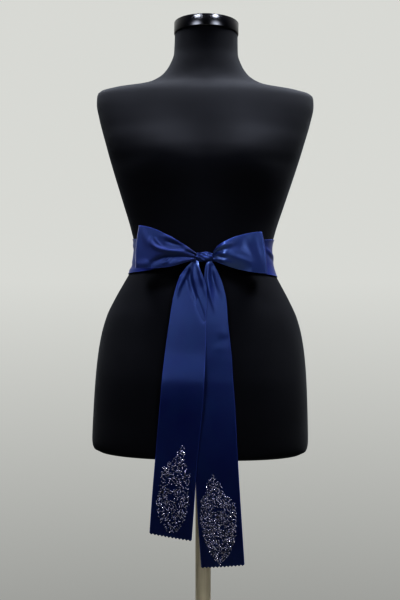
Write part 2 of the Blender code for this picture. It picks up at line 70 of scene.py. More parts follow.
# Torso: sections of the padded body, as half width, depth in front and behind, squareness
Section = namedtuple("Section", "height half_width front back squareness")
TORSO_BOTTOM = 738.0
NECK_TOP = 1463.0
TORSO_SECTIONS = (
    Section(TORSO_BOTTOM, 176.0, 103.0, 101.0, 2.35),
    Section(740.0, 181.5, 108.5, 106.5, 2.35),
    Section(745.0, 185.8, 111.5, 110.0, 2.35),
    Section(758.0, 187.6, 112.0, 112.0, 2.35),
    Section(800.0, 186.5, 112.5, 115.0, 2.3),
    Section(860.0, 183.6, 112.5, 115.0, 2.3),
    Section(900.0, 180.2, 110.8, 112.0, 2.25),
    Section(935.0, 175.0, 108.0, 106.0, 2.2),
    Section(970.0, 165.6, 104.5, 98.5, 2.2),
    Section(1003.0, 150.2, 100.5, 90.5, 2.15),
    Section(1031.0, 134.8, 96.0, 83.5, 2.15),
    Section(1046.0, 126.8, 93.0, 80.0, 2.15),
    Section(1064.0, 121.6, 90.2, 77.5, 2.15),
    Section(1090.0, 119.2, 88.5, 76.5, 2.15),
    Section(1116.0, 124.7, 89.5, 79.5, 2.15),
    Section(1171.0, 141.8, 97.0, 88.5, 2.2),
    Section(1228.0, 160.0, 108.5, 95.0, 2.2),
    Section(1250.0, 166.6, 106.0, 96.8, 2.4),
    Section(1270.0, 172.3, 101.4, 98.5, 2.5),
    Section(1290.0, 178.2, 96.4, 99.3, 2.4),
    Section(1311.0, 183.8, 91.4, 100.0, 2.3),
    Section(1340.0, 189.3, 83.5, 97.0, 2.1),
    Section(1354.0, 188.6, 78.0, 92.0, 2.0),
    Section(1361.0, 182.5, 73.5, 88.5, 1.85),
    Section(1365.0, 169.0, 71.0, 86.0, 1.7),
    Section(1368.7, 143.0, 68.5, 83.5, 1.6),
    Section(1374.0, 113.0, 66.0, 80.0, 1.6),
    Section(1380.8, 93.0, 63.5, 76.0, 1.65),
    Section(1390.8, 76.5, 60.5, 70.5, 1.8),
    Section(1408.0, 63.5, 57.5, 64.5, 1.95),
    Section(1430.0, 55.8, 54.8, 58.5, 2.0),
    Section(NECK_TOP, 54.8, 53.8, 56.0, 2.0),
)
BUST_ACROSS = 74.0
BUST_HEIGHT = 1229.0
BUST_DEPTH = 16.5
BUST_SPREAD_ACROSS = 54.0
BUST_SPREAD_UP = 54.0
FORM_COLUMNS = 144
FORM_ROWS = 170
HEM_WIDTH = 16.0
HEM_STEP = 1.2

# Cap, plate, pole and foot: radius and height pairs, turned round the upright axis
CAP_RADIUS = 56.3
CAP_BOTTOM = NECK_TOP + 0.3
CAP_TOP = 1483.5
CAP_PROFILE = (
    (0.0, CAP_TOP + 0.6),
    (28.0, CAP_TOP + 0.45),
    (46.0, CAP_TOP),
    (55.4, CAP_TOP - 0.1),
    (56.0, CAP_TOP - 0.25),
    (CAP_RADIUS, CAP_TOP - 0.7),
    (CAP_RADIUS, CAP_BOTTOM + 1.6),
    (56.0, CAP_BOTTOM + 0.7),
    (55.2, CAP_BOTTOM + 0.1),
    (54.4, CAP_BOTTOM),
    (0.0, CAP_BOTTOM),
)
PLATE_PROFILE = (
    (0.0, 733.7),
    (43.6, 733.7),
    (44.6, 734.1),
    (45.0, 734.9),
    (45.0, 737.0),
    (44.4, 737.7),
    (0.0, 737.7),
)
POLE_PROFILE = ((0.0, 38.3), (12.9, 38.3), (13.3, 38.8), (13.3, 732.6), (12.9, 733.1), (0.0, 733.1))
FOOT_PROFILE = (
    (0.0, 0.0),
    (157.8, 0.0),
    (159.4, 0.6),
    (160.0, 2.0),
    (160.0, 6.0),
    (159.2, 7.8),
    (157.2, 8.9),
    (150.0, 9.4),
    (60.0, 11.2),
    (38.0, 12.2),
    (29.5, 14.4),
    (25.4, 18.0),
    (24.0, 22.0),
    (24.0, 35.6),
    (23.2, 37.2),
    (21.4, 38.0),
    (14.0, 38.0),
    (0.0, 38.0),
)
TURNED_STEPS = 128

# Waist band: turn in degrees from the front, positive towards +X
BAND_CLEARANCE = 1.0
BAND_COLUMNS = 288
BAND_SPANS_UP = 44
BAND_FRONT_GATHER = 2.2
BAND_GATHER_WAVES = 2.0
BandRow = namedtuple("BandRow", "turn bottom top gather")
BAND_ROWS = (
    BandRow(-180.0, 1038.0, 1105.0, 0.0),
    BandRow(-130.0, 1039.0, 1104.5, 0.0),
    BandRow(-90.0, 1043.0, 1104.0, 0.0),
    BandRow(-48.0, 1047.0, 1100.0, 0.2),
    BandRow(-26.0, 1054.5, 1091.0, 0.8),
    BandRow(-9.0, 1063.0, 1077.5, BAND_FRONT_GATHER),
    BandRow(9.0, 1063.0, 1077.5, BAND_FRONT_GATHER),
    BandRow(26.0, 1054.0, 1091.0, 0.8),
    BandRow(48.0, 1046.0, 1102.0, 0.2),
    BandRow(90.0, 1041.5, 1106.5, 0.0),
    BandRow(130.0, 1039.0, 1106.0, 0.0),
    BandRow(180.0, 1038.0, 1105.0, 0.0),
)

# A fold is a soft ridge, or a trough where lift is negative, along an arc through three
# places seen from the front. left and right are its spread on each side as it runs from
# a to c, and start and end are how much of its lift is left at each end.
# On the waist band x is the turn in degrees.
Fold = namedtuple("Fold", "x_a z_a x_b z_b x_c z_c lift left right start end")
FOLD_ARC_STEPS = 20
BAND_FOLDS = (
    Fold(58.0, 1089.0, 74.0, 1081.0, 92.0, 1071.0, 2.2, 3.0, 6.0, 0.2, 0.2),
    Fold(60.0, 1082.0, 74.0, 1073.0, 88.0, 1066.0, -1.0, 3.0, 5.0, 0.1, 0.1),
    Fold(-100.0, 1094.0, -84.0, 1092.0, -62.0, 1088.0, 1.4, 4.0, 4.0, 0.2, 0.2),
    Fold(-98.0, 1062.0, -82.0, 1058.0, -58.0, 1054.0, -1.2, 3.0, 6.0, 0.2, 0.2),
    Fold(-96.0, 1053.0, -80.0, 1050.0, -56.0, 1050.0, 1.0, 3.0, 3.0, 0.2, 0.2),
    Fold(118.0, 1080.0, 142.0, 1072.0, 166.0, 1062.0, 1.6, 5.0, 5.0, 0.1, 0.1),
    Fold(-168.0, 1090.0, -143.0, 1081.0, -118.0, 1070.0, 1.5, 5.0, 5.0, 0.1, 0.1),
    Fold(-40.0, 1080.0, -26.0, 1076.0, -10.0, 1073.0, 1.2, 2.6, 2.6, 0.0, 0.6),
    Fold(-42.0, 1066.0, -26.0, 1067.0, -10.0, 1067.0, 1.2, 2.6, 2.6, 0.0, 0.6),
    Fold(42.0, 1082.0, 26.0, 1077.0, 10.0, 1074.0, 1.2, 2.6, 2.6, 0.0, 0.6),
    Fold(44.0, 1064.0, 26.0, 1065.0, 10.0, 1066.0, 1.2, 2.6, 2.6, 0.0, 0.6),
)
DEGREE_LENGTH = 1.9

# Knot
KNOT_LEFT = -11.4
KNOT_RIGHT = 15.9
KNOT_HEIGHT = 1070.5
KNOT_FORWARD = 103.9
KNOT_HALF_TALL = 8.8
KNOT_HALF_DEEP = 8.4
KNOT_END_SHARE = 0.72
KNOT_END_ROUNDING = 0.6
KNOT_STRANDS = 3
KNOT_STRAND_DEPTH = 1.8
KNOT_FINE_STRANDS = 8
KNOT_FINE_DEPTH = 0.9
KNOT_TWIST_TURNS = 0.4
KNOT_COLUMNS = 144
KNOT_SPANS = 60
KNOT_TUCK = 0.08
KNOT_TUCK_SHARE = 0.35

# Each rib of a loop runs straight from the lower edge to the upper edge of the ribbon.
# out is the distance from the middle, forward is the distance in front of the axis.
Rib = namedtuple("Rib", "low_out low_height high_out high_height forward pleat")
LOOP_LEFT_RIBS = (
    Rib(11.8, 1065.6, 11.8, 1076.4, 107.6, 0.9),
    Rib(22.0, 1062.6, 22.0, 1083.4, 113.0, 1.3),
    Rib(37.0, 1057.5, 36.0, 1092.2, 118.6, 1.2),
    Rib(61.0, 1051.7, 60.0, 1105.2, 117.0, 0.4),
    Rib(86.0, 1050.2, 83.5, 1115.6, 112.6, 0.1),
    Rib(101.5, 1050.4, 97.4, 1118.7, 109.8, 0.0),
    Rib(108.3, 1050.8, 104.2, 1119.2, 108.4, 0.0),
    Rib(109.2, 1051.0, 105.0, 1119.3, 103.0, 0.0),
    Rib(103.5, 1052.0, 98.0, 1118.6, 75.5, 0.0),
    Rib(84.0, 1053.5, 82.0, 1114.0, 80.5, 0.2),
    Rib(60.0, 1055.5, 60.0, 1103.5, 89.5, 0.6),
    Rib(37.0, 1059.0, 36.5, 1091.2, 97.0, 1.2),
    Rib(22.0, 1063.0, 22.0, 1082.8, 100.2, 1.2),
    Rib(11.8, 1066.0, 11.8, 1076.0, 102.2, 0.8),
)
LOOP_RIGHT_RIBS = (
    Rib(16.3, 1065.2, 16.3, 1078.0, 107.6, 0.9),
    Rib(25.0, 1061.0, 23.5, 1088.0, 113.5, 1.2),
    Rib(38.0, 1056.2, 36.5, 1096.4, 118.4, 1.1),
    Rib(60.0, 1050.2, 58.0, 1105.2, 117.6, 0.4),
    Rib(84.5, 1045.6, 79.0, 1110.3, 116.2, 0.1),
    Rib(97.5, 1044.7, 88.5, 1111.5, 115.6, 0.0),
    Rib(103.2, 1044.4, 93.6, 1111.6, 115.0, 0.0),
    Rib(104.4, 1044.3, 94.8, 1111.6, 110.0, 0.0),
    Rib(99.0, 1045.5, 90.0, 1111.0, 75.0, 0.0),
    Rib(82.0, 1048.5, 78.0, 1109.0, 80.5, 0.2),
    Rib(59.0, 1053.0, 57.5, 1103.8, 89.5, 0.6),
    Rib(38.0, 1058.0, 37.0, 1095.0, 97.0, 1.2),
    Rib(25.0, 1062.0, 24.0, 1086.8, 100.0, 1.2),
    Rib(16.3, 1065.8, 16.3, 1077.4, 102.2, 0.8),
)
LOOP_OUTER_BOW = 2.2
LOOP_LOWER_TUCK = 2.5
LOOP_REACH = 105.0
LOOP_PLEAT_WAVES = 2.5
LOOP_SPANS_ALONG = 150
LOOP_SPANS_ACROSS = 48
LOOP_LEFT_FOLDS = (
    Fold(-83.2, 1103.0, -73.0, 1083.0, -25.0, 1079.5, 3.4, 3.2, 3.6, 0.1, 0.5),
    Fold(-78.5, 1101.0, -75.0, 1093.5, -67.0, 1086.0, 1.4, 2.2, 2.2, 0.0, 0.5),
    Fold(-62.0, 1095.5, -47.0, 1090.5, -30.0, 1086.0, -2.8, 3.6, 3.0, 0.1, 0.5),
    Fold(-66.0, 1102.0, -54.0, 1100.0, -42.0, 1093.5, 1.4, 3.6, 3.6, 0.2, 0.2),
    Fold(-84.0, 1054.0, -68.0, 1065.5, -28.0, 1070.8, -4.6, 4.6, 4.4, 0.5, 0.3),
    Fold(-66.0, 1055.0, -61.0, 1061.0, -53.0, 1066.0, 1.8, 2.6, 2.6, 0.2, 0.2),
    Fold(-54.0, 1059.0, -50.0, 1063.0, -42.0, 1066.0, -1.6, 2.8, 2.6, 0.2, 0.2),
    Fold(-104.0, 1056.0, -94.0, 1056.5, -86.0, 1060.0, 2.6, 7.0, 6.0, 0.6, 0.2),
    Fold(-98.0, 1113.0, -92.0, 1096.0, -84.0, 1084.0, 1.8, 5.0, 5.0, 0.4, 0.2),
    Fold(-44.0, 1058.0, -36.0, 1062.0, -24.0, 1067.5, 0.9, 2.6, 2.4, 0.1, 0.6),
)
LOOP_RIGHT_FOLDS = (
    Fold(18.0, 1079.0, 29.0, 1080.5, 44.0, 1083.0, -0.8, 2.6, 2.6, 0.4, 0.2),
    Fold(18.5, 1072.0, 28.0, 1070.8, 40.0, 1068.5, -2.8, 3.4, 2.6, 0.4, 0.2),
    Fold(19.0, 1065.0, 28.0, 1061.2, 40.0, 1058.5, -3.6, 3.2, 2.8, 0.4, 0.2),
    Fold(34.0, 1072.5, 50.0, 1069.5, 72.0, 1064.0, 1.8, 5.0, 5.0, 0.4, 0.4),
    Fold(14.0, 1077.5, 27.0, 1086.5, 49.0, 1091.5, 2.0, 3.0, 3.6, 0.5, 0.1),
    Fold(30.0, 1052.0, 52.0, 1049.0, 78.0, 1044.0, -8.5, 11.0, 10.0, 0.5, 0.1),
    Fold(50.0, 1078.0, 61.0, 1089.0, 68.0, 1101.0, 0.9, 6.0, 7.0, 0.2, 0.3),
    Fold(66.0, 1100.0, 74.0, 1084.0, 84.0, 1070.0, -0.6, 5.0, 5.0, 0.2, 0.3),
    Fold(84.0, 1102.0, 87.0, 1084.0, 96.0, 1060.0, 0.4, 5.0, 5.0, 0.3, 0.3),
)

# Tails: edges seen from the front; clear is the distance in front of the torso
TailRow = namedtuple("TailRow", "height left right clear")
TAIL_LEFT_ROWS = (
    TailRow(1068.0, -15.0, -6.0, 13.6),
    TailRow(1062.6, -18.0, -7.0, 14.8),
    TailRow(1054.6, -26.0, -6.0, 15.5),
    TailRow(1038.0, -37.0, 0.5, 13.5),
    TailRow(1019.0, -43.5, 6.4, 10.5),
    TailRow(999.0, -48.3, 6.8, 9.2),
    TailRow(967.0, -52.8, 6.4, 7.8),
    TailRow(935.0, -57.0, 6.7, 6.0),
    TailRow(914.0, -59.4, 6.5, 5.2),
    TailRow(886.0, -62.1, 5.8, 7.8),
    TailRow(866.0, -63.9, 5.0, 8.7),
    TailRow(846.0, -65.2, 4.1, 8.2),
    TailRow(820.0, -67.0, 2.6, 6.4),
    TailRow(795.0, -69.0, 0.6, 4.4),
    TailRow(773.0, -70.5, -1.4, 3.2),
    TailRow(731.0, -73.2, -5.0, 2.3),
    TailRow(680.0, -76.6, -7.6, 2.3),
    TailRow(616.5, -80.0, -11.4, 2.3),
)
TAIL_RIGHT_ROWS = (
    TailRow(1067.0, 5.0, 13.0, 13.6),
    TailRow(1062.2, 5.0, 15.5, 14.5),
    TailRow(1052.0, 3.6, 21.2, 14.0),
    TailRow(1030.0, 1.5, 31.2, 10.5),
    TailRow(1000.0, -9.0, 39.0, 7.4),
    TailRow(968.0, -15.0, 41.8, 6.4),
    TailRow(936.0, -17.5, 45.6, 4.2),
    TailRow(904.0, -18.6, 49.4, 2.2),
    TailRow(872.0, -17.8, 51.6, 0.7),
    TailRow(839.0, -15.2, 54.8, 0.5),
    TailRow(807.0, -12.8, 57.2, 0.5),
    TailRow(775.0, -10.6, 59.3, 0.5),
    TailRow(740.0, -8.4, 61.6, 0.5),
    TailRow(682.0, -4.6, 65.9, 0.5),
    TailRow(630.0, -0.6, 70.0, 0.5),
    TailRow(570.0, 4.4, 74.8, 0.5),
)
TAIL_LEFT_FOLDS = (
    Fold(-16.0, 1060.0, -20.0, 1031.0, 3.0, 968.0, -6.0, 4.6, 4.4, 0.5, 0.3),
    Fold(-20.0, 1056.0, -33.0, 1034.0, -42.0, 1004.0, 3.8, 4.2, 4.2, 0.5, 0.1),
    Fold(-9.0, 1058.0, -3.0, 1040.0, 4.0, 1012.0, 3.4, 3.2, 3.6, 0.5, 0.2),
    Fold(-26.0, 1052.0, -31.0, 1040.0, -38.0, 1022.0, -0.8, 2.4, 2.4, 0.4, 0.0),
)
TAIL_RIGHT_FOLDS = (
    Fold(9.3, 1059.0, 9.5, 1024.0, 20.0, 984.0, 4.2, 3.4, 3.2, 0.5, 0.1),
    Fold(14.0, 1056.0, 18.0, 1030.0, 29.0, 1000.0, -3.6, 3.8, 4.2, 0.5, 0.1),
    Fold(22.0, 952.0, 32.0, 948.0, 42.0, 951.0, 0.5, 9.0, 9.0, 0.0, 0.4),
    Fold(18.0, 926.0, 30.0, 922.0, 42.0, 924.0, 0.4, 8.0, 8.0, 0.0, 0.4),
)
TAIL_CLOTH_MIDDLE = 0.6
HANG_HEIGHT = 800.0
LEFT_END_SLANT = -9.0
RIGHT_END_SLANT = 3.5
END_SLANT_FADE = 4
TAIL_SPANS_ALONG = 200
TAIL_SPANS_ACROSS = 48
TOOTH_FADE = 0.985

# Bead fields: a leaf or diamond with shallow lobes, seen from the front, and bare spots
Spot = namedtuple("Spot", "x z half_wide half_tall")
BEADS_LEFT_OUTLINE = (
    (-31.0, 765.0), (-43.0, 742.0), (-61.0, 727.0), (-63.0, 700.0), (-70.0, 672.0),
    (-66.0, 646.0), (-50.0, 622.0), (-37.0, 624.0), (-24.0, 640.0), (-16.0, 670.0),
    (-19.0, 692.0), (-15.0, 716.0), (-25.0, 738.0), (-24.0, 764.0),
)
BEADS_LEFT_BARE = (Spot(-45.0, 697.0, 9.0, 4.0), Spot(-46.0, 681.0, 6.0, 5.0))
BEADS_RIGHT_OUTLINE = (
    (21.0, 718.0), (33.0, 703.0), (43.0, 683.0), (58.0, 672.0), (61.0, 644.0),
    (59.0, 612.0), (50.0, 588.0), (35.0, 572.0), (20.0, 586.0), (9.0, 612.0),
    (2.0, 644.0), (2.0, 676.0), (11.0, 690.0), (12.0, 704.0),
)
BEADS_RIGHT_BARE = (Spot(30.0, 662.0, 7.0, 2.4), Spot(24.0, 650.0, 2.4, 5.0), Spot(38.0, 632.0, 3.0, 4.0))
BEAD_TRIES = 16000
BUGLE_SIDES = 7
STONE_SHARE = 0.3
SILVER_SHARE = 0.4

# Studio, in metres
CAMERA_PLACE = (-0.0054, -1.5, 1.0)
SENSOR = 36.0
FLOOR_RADIUS = 2.4
WINDOWS = (
    ("window_left", (-1.26, -1.88, 1.70), (0.0, -0.1, 1.58)),
    ("window_right", (1.20, -1.92, 1.70), (0.0, -0.1, 1.58)),
)
WINDOW_SIZE = (2.2, 1.36)
WINDOW_SPREAD = 38.0
CEILING_PLACE = (0.16, 0.0, 2.3)
CEILING_AIM = (0.16, -0.03, 1.0)
CEILING_SIZE = (1.9, 0.3)
SKYLIGHTS = (
    ("skylight_left", (-0.80, -1.25, 2.60), (0.0, -0.1, 1.10)),
    ("skylight_right", (0.84, -1.25, 2.60), (0.0, -0.1, 1.10)),
)
SKYLIGHT_SIZE = (1.2, 0.4)
SKYLIGHT_SPREAD = 22.0


class SashSizes(bpy.types.PropertyGroup):
    """Sizes of the ribbon that the sash is tied from."""

    ribbon_width: FloatProperty(
        name="Ribbon width", description="Width of the ribbon before it is tied",
        default=0.07, min=0.03, max=0.12, unit="LENGTH")
    thickness: FloatProperty(
        name="Thickness", description="Thickness of the satin away from its edges",
        default=0.0005, min=0.0002, max=0.001, precision=5, unit="LENGTH")
    selvedge_thickness: FloatProperty(
        name="Selvedge thickness", description="Thickness of the woven edges",
        default=0.0011, min=0.0003, max=0.002, precision=5, unit="LENGTH")
    teeth: IntProperty(
        name="Teeth", description="Pinked teeth across each cut end", default=12, min=6, max=24)
    tooth_depth: FloatProperty(
        name="Tooth depth", description="Depth of the pinked teeth",
        default=0.0024, min=0.001, max=0.004, precision=4, unit="LENGTH")


class SatinFinish(bpy.types.PropertyGroup):
    """Colours and gloss of the satin."""

    navy: FloatVectorProperty(
        name="Navy", description="Main colour of the cloth", subtype="COLOR", size=3,
        default=(0.0005, 0.0019, 0.027), min=0.0, max=1.0)
    teal: FloatVectorProperty(
        name="Teal cast", description="Cooler colour of faint clouds in the cloth",
        subtype="COLOR", size=3, default=(0.0005, 0.0040, 0.029), min=0.0, max=1.0)
    shine: FloatVectorProperty(
        name="Shine", description="Colour of the light that the floats throw back",
        subtype="COLOR", size=3, default=(0.29, 0.42, 0.76), min=0.0, max=1.0)
    roughness: FloatProperty(
        name="Roughness", description="How much the shine is spread", default=0.45,
        min=0.0, max=1.0, subtype="FACTOR")
    ior: FloatProperty(
        name="IOR", description="Strength of the shine seen straight on", default=2.0,
        min=1.0, max=3.0)


class BeadSizes(bpy.types.PropertyGroup):
    """Sizes of the sewn glass beads."""

    left_count: IntProperty(
        name="Beads on the left tail", description="Number of beads sewn on the shorter end",
        default=370, min=20, max=800)
    right_count: IntProperty(
        name="Beads on the right tail", description="Number of beads sewn on the longer end",
        default=510, min=20, max=800)
    shortest: FloatProperty(
        name="Shortest bead", description="Length of the shortest bugle bead",
        default=0.0023, min=0.001, max=0.006, precision=4, unit="LENGTH")
    longest: FloatProperty(
        name="Longest bead", description="Length of the longest bugle bead",
        default=0.0040, min=0.002, max=0.008, precision=4, unit="LENGTH")
    bore_width: FloatProperty(
        name="Bead width", description="Width of a bugle bead",
        default=0.0016, min=0.0008, max=0.003, precision=4, unit="LENGTH")
    stone_width: FloatProperty(
        name="Stone width", description="Width of a cut stone",
        default=0.0026, min=0.001, max=0.005, precision=4, unit="LENGTH")
    spacing: FloatProperty(
        name="Spacing", description="Least distance between the middles of two beads",
        default=0.0022, min=0.001, max=0.008, precision=4, unit="LENGTH")


class FormFinish(bpy.types.PropertyGroup):
    """Colours and gloss of the dress form and its stand."""

    cover: FloatVectorProperty(
        name="Cover", description="Colour of the jersey cover", subtype="COLOR", size=3,
        default=(0.0042, 0.0043, 0.0052), min=0.0, max=1.0)
    cover_roughness: FloatProperty(
        name="Cover roughness", description="How dull the jersey is", default=0.72,
        min=0.0, max=1.0, subtype="FACTOR")
    cap: FloatVectorProperty(
        name="Cap", description="Colour of the neck cap", subtype="COLOR", size=3,
        default=(0.0004, 0.0004, 0.0008), min=0.0, max=1.0)
    steel: FloatVectorProperty(
        name="Steel", description="Colour of the polished steel", subtype="COLOR", size=3,
        default=(0.47, 0.42, 0.335), min=0.0, max=1.0)


class StudioLight(bpy.types.PropertyGroup):
    """The plain studio: its lights and its pale surroundings."""

    window_power: FloatProperty(
        name="Side lights", description="Power of each of the two soft lights in front",
        default=3.9, min=0.0, max=200.0, unit="POWER")
    window_color: FloatVectorProperty(
        name="Side light colour", description="Colour of the two soft lights in front",
        subtype="COLOR", size=3, default=(0.82, 0.86, 1.0), min=0.0, max=1.0)
    skylight_power: FloatProperty(
        name="High lights", description="Power of each of the two soft lights high up in front",
        default=2.2, min=0.0, max=100.0, unit="POWER")
    ceiling_power: FloatProperty(
        name="Ceiling light", description="Power of the soft light overhead",
        default=400.0, min=0.0, max=2000.0, unit="POWER")
    ceiling_color: FloatVectorProperty(
        name="Ceiling light colour", description="Colour of the soft light overhead",
        subtype="COLOR", size=3, default=(0.97, 1.0, 0.97), min=0.0, max=1.0)
    wall: FloatVectorProperty(
        name="Wall", description="Colour of the plain wall", subtype="COLOR", size=3,
        default=(0.51, 0.515, 0.495), min=0.0, max=1.0)
    floor: FloatVectorProperty(
        name="Floor", description="Colour of the plain floor", subtype="COLOR", size=3,
        default=(0.26, 0.26, 0.25), min=0.0, max=1.0)


# ---------------------------------------------------------------- curves and shapes


def smooth_curve(at, value):
    """A monotone cubic curve through the given values, for numbers or arrays."""
    at, value = np.asarray(at, float), np.asarray(value, float)
    step = np.diff(at)
    slope = np.diff(value) / step
    product, total = slope[:-1] * slope[1:], slope[:-1] + slope[1:]
    turning = product > 0
    tangent = np.concatenate((
        slope[:1], np.where(turning, 2 * product / np.where(turning, total, 1.0), 0.0), slope[-1:]))

    def curve(place):
        place = np.clip(place, at[0], at[-1])
        i = np.clip(np.searchsorted(at, place, side="right") - 1, 0, len(at) - 2)
        t = (place - at[i]) / step[i]
        rise = t * t * (3 - 2 * t)
        leave = t * (1 - t) ** 2 * step[i] * tangent[i]
        arrive = t * t * (t - 1) * step[i] * tangent[i + 1]
        return value[i] + rise * (value[i + 1] - value[i]) + leave + arrive

    return curve


def table_curves(rows, key):
    """A smooth curve for each column of a table but its key."""
    rows = sorted(rows, key=lambda row: getattr(row, key))
    at = [getattr(row, key) for row in rows]
    return {name: smooth_curve(at, [getattr(row, name) for row in rows])
            for name in rows[0]._fields if name != key}


TORSO = table_curves(TORSO_SECTIONS, "height")


def bust_lift(across, height):
    """How far the bust stands out in front of the plain torso."""
    side = (np.abs(across) - BUST_ACROSS) / BUST_SPREAD_ACROSS
    up = (height - BUST_HEIGHT) / BUST_SPREAD_UP
    return BUST_DEPTH * np.exp(-side * side - up * up)


def torso_surface(height, turn, outset):
    """Places on the torso at a height and a turn from the front, moved out level."""
    square, width = TORSO["squareness"](height), TORSO["half_width"](height)
    ahead, aside = np.cos(turn), np.sin(turn)
    depth = np.where(ahead > 0, TORSO["front"](height), TORSO["back"](height))
    x = np.copysign(width * np.abs(aside) ** (2 / square), aside)
    y = np.copysign(depth * np.abs(ahead) ** (2 / square), -ahead)
    normal_x = np.copysign(np.abs(x / width) ** (square - 1) / width, x)
    normal_y = np.copysign(np.abs(y / depth) ** (square - 1) / depth, y)
    length = np.hypot(normal_x, normal_y)
    y = y - np.where(ahead > 0, bust_lift(x, height) * np.abs(ahead) ** 0.5, 0.0)
    return np.stack((x + outset * normal_x / length, y + outset * normal_y / length, height), axis=1)


def torso_front(across, height):
    """How far in front of the axis the torso's surface is."""
    square = TORSO["squareness"](height)
    share = np.minimum(np.abs(across) / TORSO["half_width"](height), 1.0)
    return TORSO["front"](height) * (1 - share ** square) ** (1 / square)


def fold_arc(fold):
    """The x and z of places along a fold's arc."""
    share = np.linspace(0.0, 1.0, FOLD_ARC_STEPS + 1)
    pull_x = 2 * fold.x_b - (fold.x_a + fold.x_c) / 2
    pull_z = 2 * fold.z_b - (fold.z_a + fold.z_c) / 2
    start, middle, end = (1 - share) ** 2, 2 * share * (1 - share), share ** 2
    return (start * fold.x_a + middle * pull_x + end * fold.x_c,
            start * fold.z_a + middle * pull_z + end * fold.z_c)


def fold_lift(folds, x, z):
    """How far the folds raise the cloth at places seen from the front."""
    total = np.zeros_like(x)
    each = np.arange(len(x))
    for fold in folds:
        arc_x, arc_z = fold_arc(fold)
        run_x, run_z = np.diff(arc_x), np.diff(arc_z)
        from_x, from_z = x[:, None] - arc_x[:-1], z[:, None] - arc_z[:-1]
        part = np.clip((from_x * run_x + from_z * run_z) / (run_x ** 2 + run_z ** 2), 0, 1)
        gap_x, gap_z = from_x - part * run_x, from_z - part * run_z
        gap = gap_x ** 2 + gap_z ** 2
        near = gap.argmin(axis=1)
        side = run_x[near] * gap_z[each, near] - run_z[near] * gap_x[each, near]
        spread = np.where(side > 0, fold.left, fold.right)
        along = (near + part[each, near]) / FOLD_ARC_STEPS
        rest = np.where(along < 0.5, fold.start, fold.end)
        fade = rest + (1 - rest) * np.sin(pi * along)
        total += fold.lift * fade * np.exp(-gap[each, near] / spread ** 2)
    return total


def band_shape(across, along):
    """Places on the waist band: across from its lower to its upper edge, along all round."""
    curves = table_curves(BAND_ROWS, "turn")
    turn = -180 + 360 * along
    bottom, top = curves["bottom"](turn), curves["top"](turn)
    height = bottom + (top - bottom) * across
    gather = curves["gather"](turn) * (1 + np.cos(2 * pi * BAND_GATHER_WAVES * across))
    folds = [fold._replace(x_a=fold.x_a * DEGREE_LENGTH, x_b=fold.x_b * DEGREE_LENGTH,
                           x_c=fold.x_c * DEGREE_LENGTH) for fold in BAND_FOLDS]
    out = BAND_CLEARANCE + 0.6 + gather + fold_lift(folds, turn * DEGREE_LENGTH, height)
    return torso_surface(height, np.radians(turn), np.maximum(out, 0.7))


def loop_curves(ribs):
    """The length of a loop and a curve along it for each column of its ribs."""
    middles = np.array([((rib.low_out + rib.high_out) / 2, rib.forward) for rib in ribs])
    gaps = np.hypot(*np.diff(middles, axis=0).T)
    stations = np.concatenate(((0.0,), np.cumsum(gaps)))
    return stations[-1], {name: smooth_curve(stations, [getattr(rib, name) for rib in ribs])
                          for name in Rib._fields}


def loop_shape(ribs, side, folds):
    """A function that gives places on a loop of the bow."""
    length, curves = loop_curves(ribs)

    def shape(across, along):
        place, level = length * along, 2 * across - 1
        low_out, high_out = curves["low_out"](place), curves["high_out"](place)
        low, high = curves["low_height"](place), curves["high_height"](place)
        reach = (low_out + high_out) / 2 / LOOP_REACH
        out = low_out + (high_out - low_out) * across
        out = out + LOOP_OUTER_BOW * reach ** 2 * (1 - level ** 2)
        height = low + (high - low) * across
        x = side * out
        forward = curves["forward"](place)
        forward = forward + curves["pleat"](place) * np.cos(pi * LOOP_PLEAT_WAVES * level)
        front = np.clip((0.5 - along) / 0.06 + 0.5, 0.0, 1.0)
        tuck = LOOP_LOWER_TUCK * np.maximum(-level - 0.1, 0.0) ** 2 * np.minimum(reach * 2.0, 1.0)
        forward = forward + front * (fold_lift(folds, x, height) - tuck)
        return np.stack((x, -forward, height), axis=1)

    return shape


def knot_shape(across, along):
    """Places on the knot: across round it, along from its left end to its right end."""
    share = np.clip((along - KNOT_TUCK) / (1 - 2 * KNOT_TUCK), 0.0, 1.0)
    tucked = np.maximum(KNOT_TUCK - along, along - (1 - KNOT_TUCK)).clip(0) / KNOT_TUCK
    x = KNOT_LEFT + (KNOT_RIGHT - KNOT_LEFT) * share
    swell = KNOT_END_SHARE + (1 - KNOT_END_SHARE) * np.sin(pi * share) ** KNOT_END_ROUNDING
    swell = swell * (1 - (1 - KNOT_TUCK_SHARE) * tucked)
    x = x + np.where(along < 0.5, 1, -1) * 1.5 * tucked ** 2
    around = 2 * pi * across
    twist = 2 * pi * KNOT_TWIST_TURNS * share
    strand = np.cos(KNOT_STRANDS * (around - twist))
    fine = np.cos(KNOT_FINE_STRANDS * (around + 0.7 * twist))
    sunk = KNOT_STRAND_DEPTH * (strand - 1) / 2 + KNOT_FINE_DEPTH * (fine - 1) / 2
    tall = swell * KNOT_HALF_TALL + sunk
    deep = swell * KNOT_HALF_DEEP + sunk
    return np.stack((x, -KNOT_FORWARD - deep * np.cos(around),
                     KNOT_HEIGHT + tall * np.sin(around)), axis=1)


def tail_forward(curves, folds, x, height):
    """How far in front of the axis the middle of a tail's cloth is."""
    clear = torso_front(x, np.maximum(height, HANG_HEIGHT)) + curves["clear"](height)
    return clear + TAIL_CLOTH_MIDDLE + fold_lift(folds, x, height)


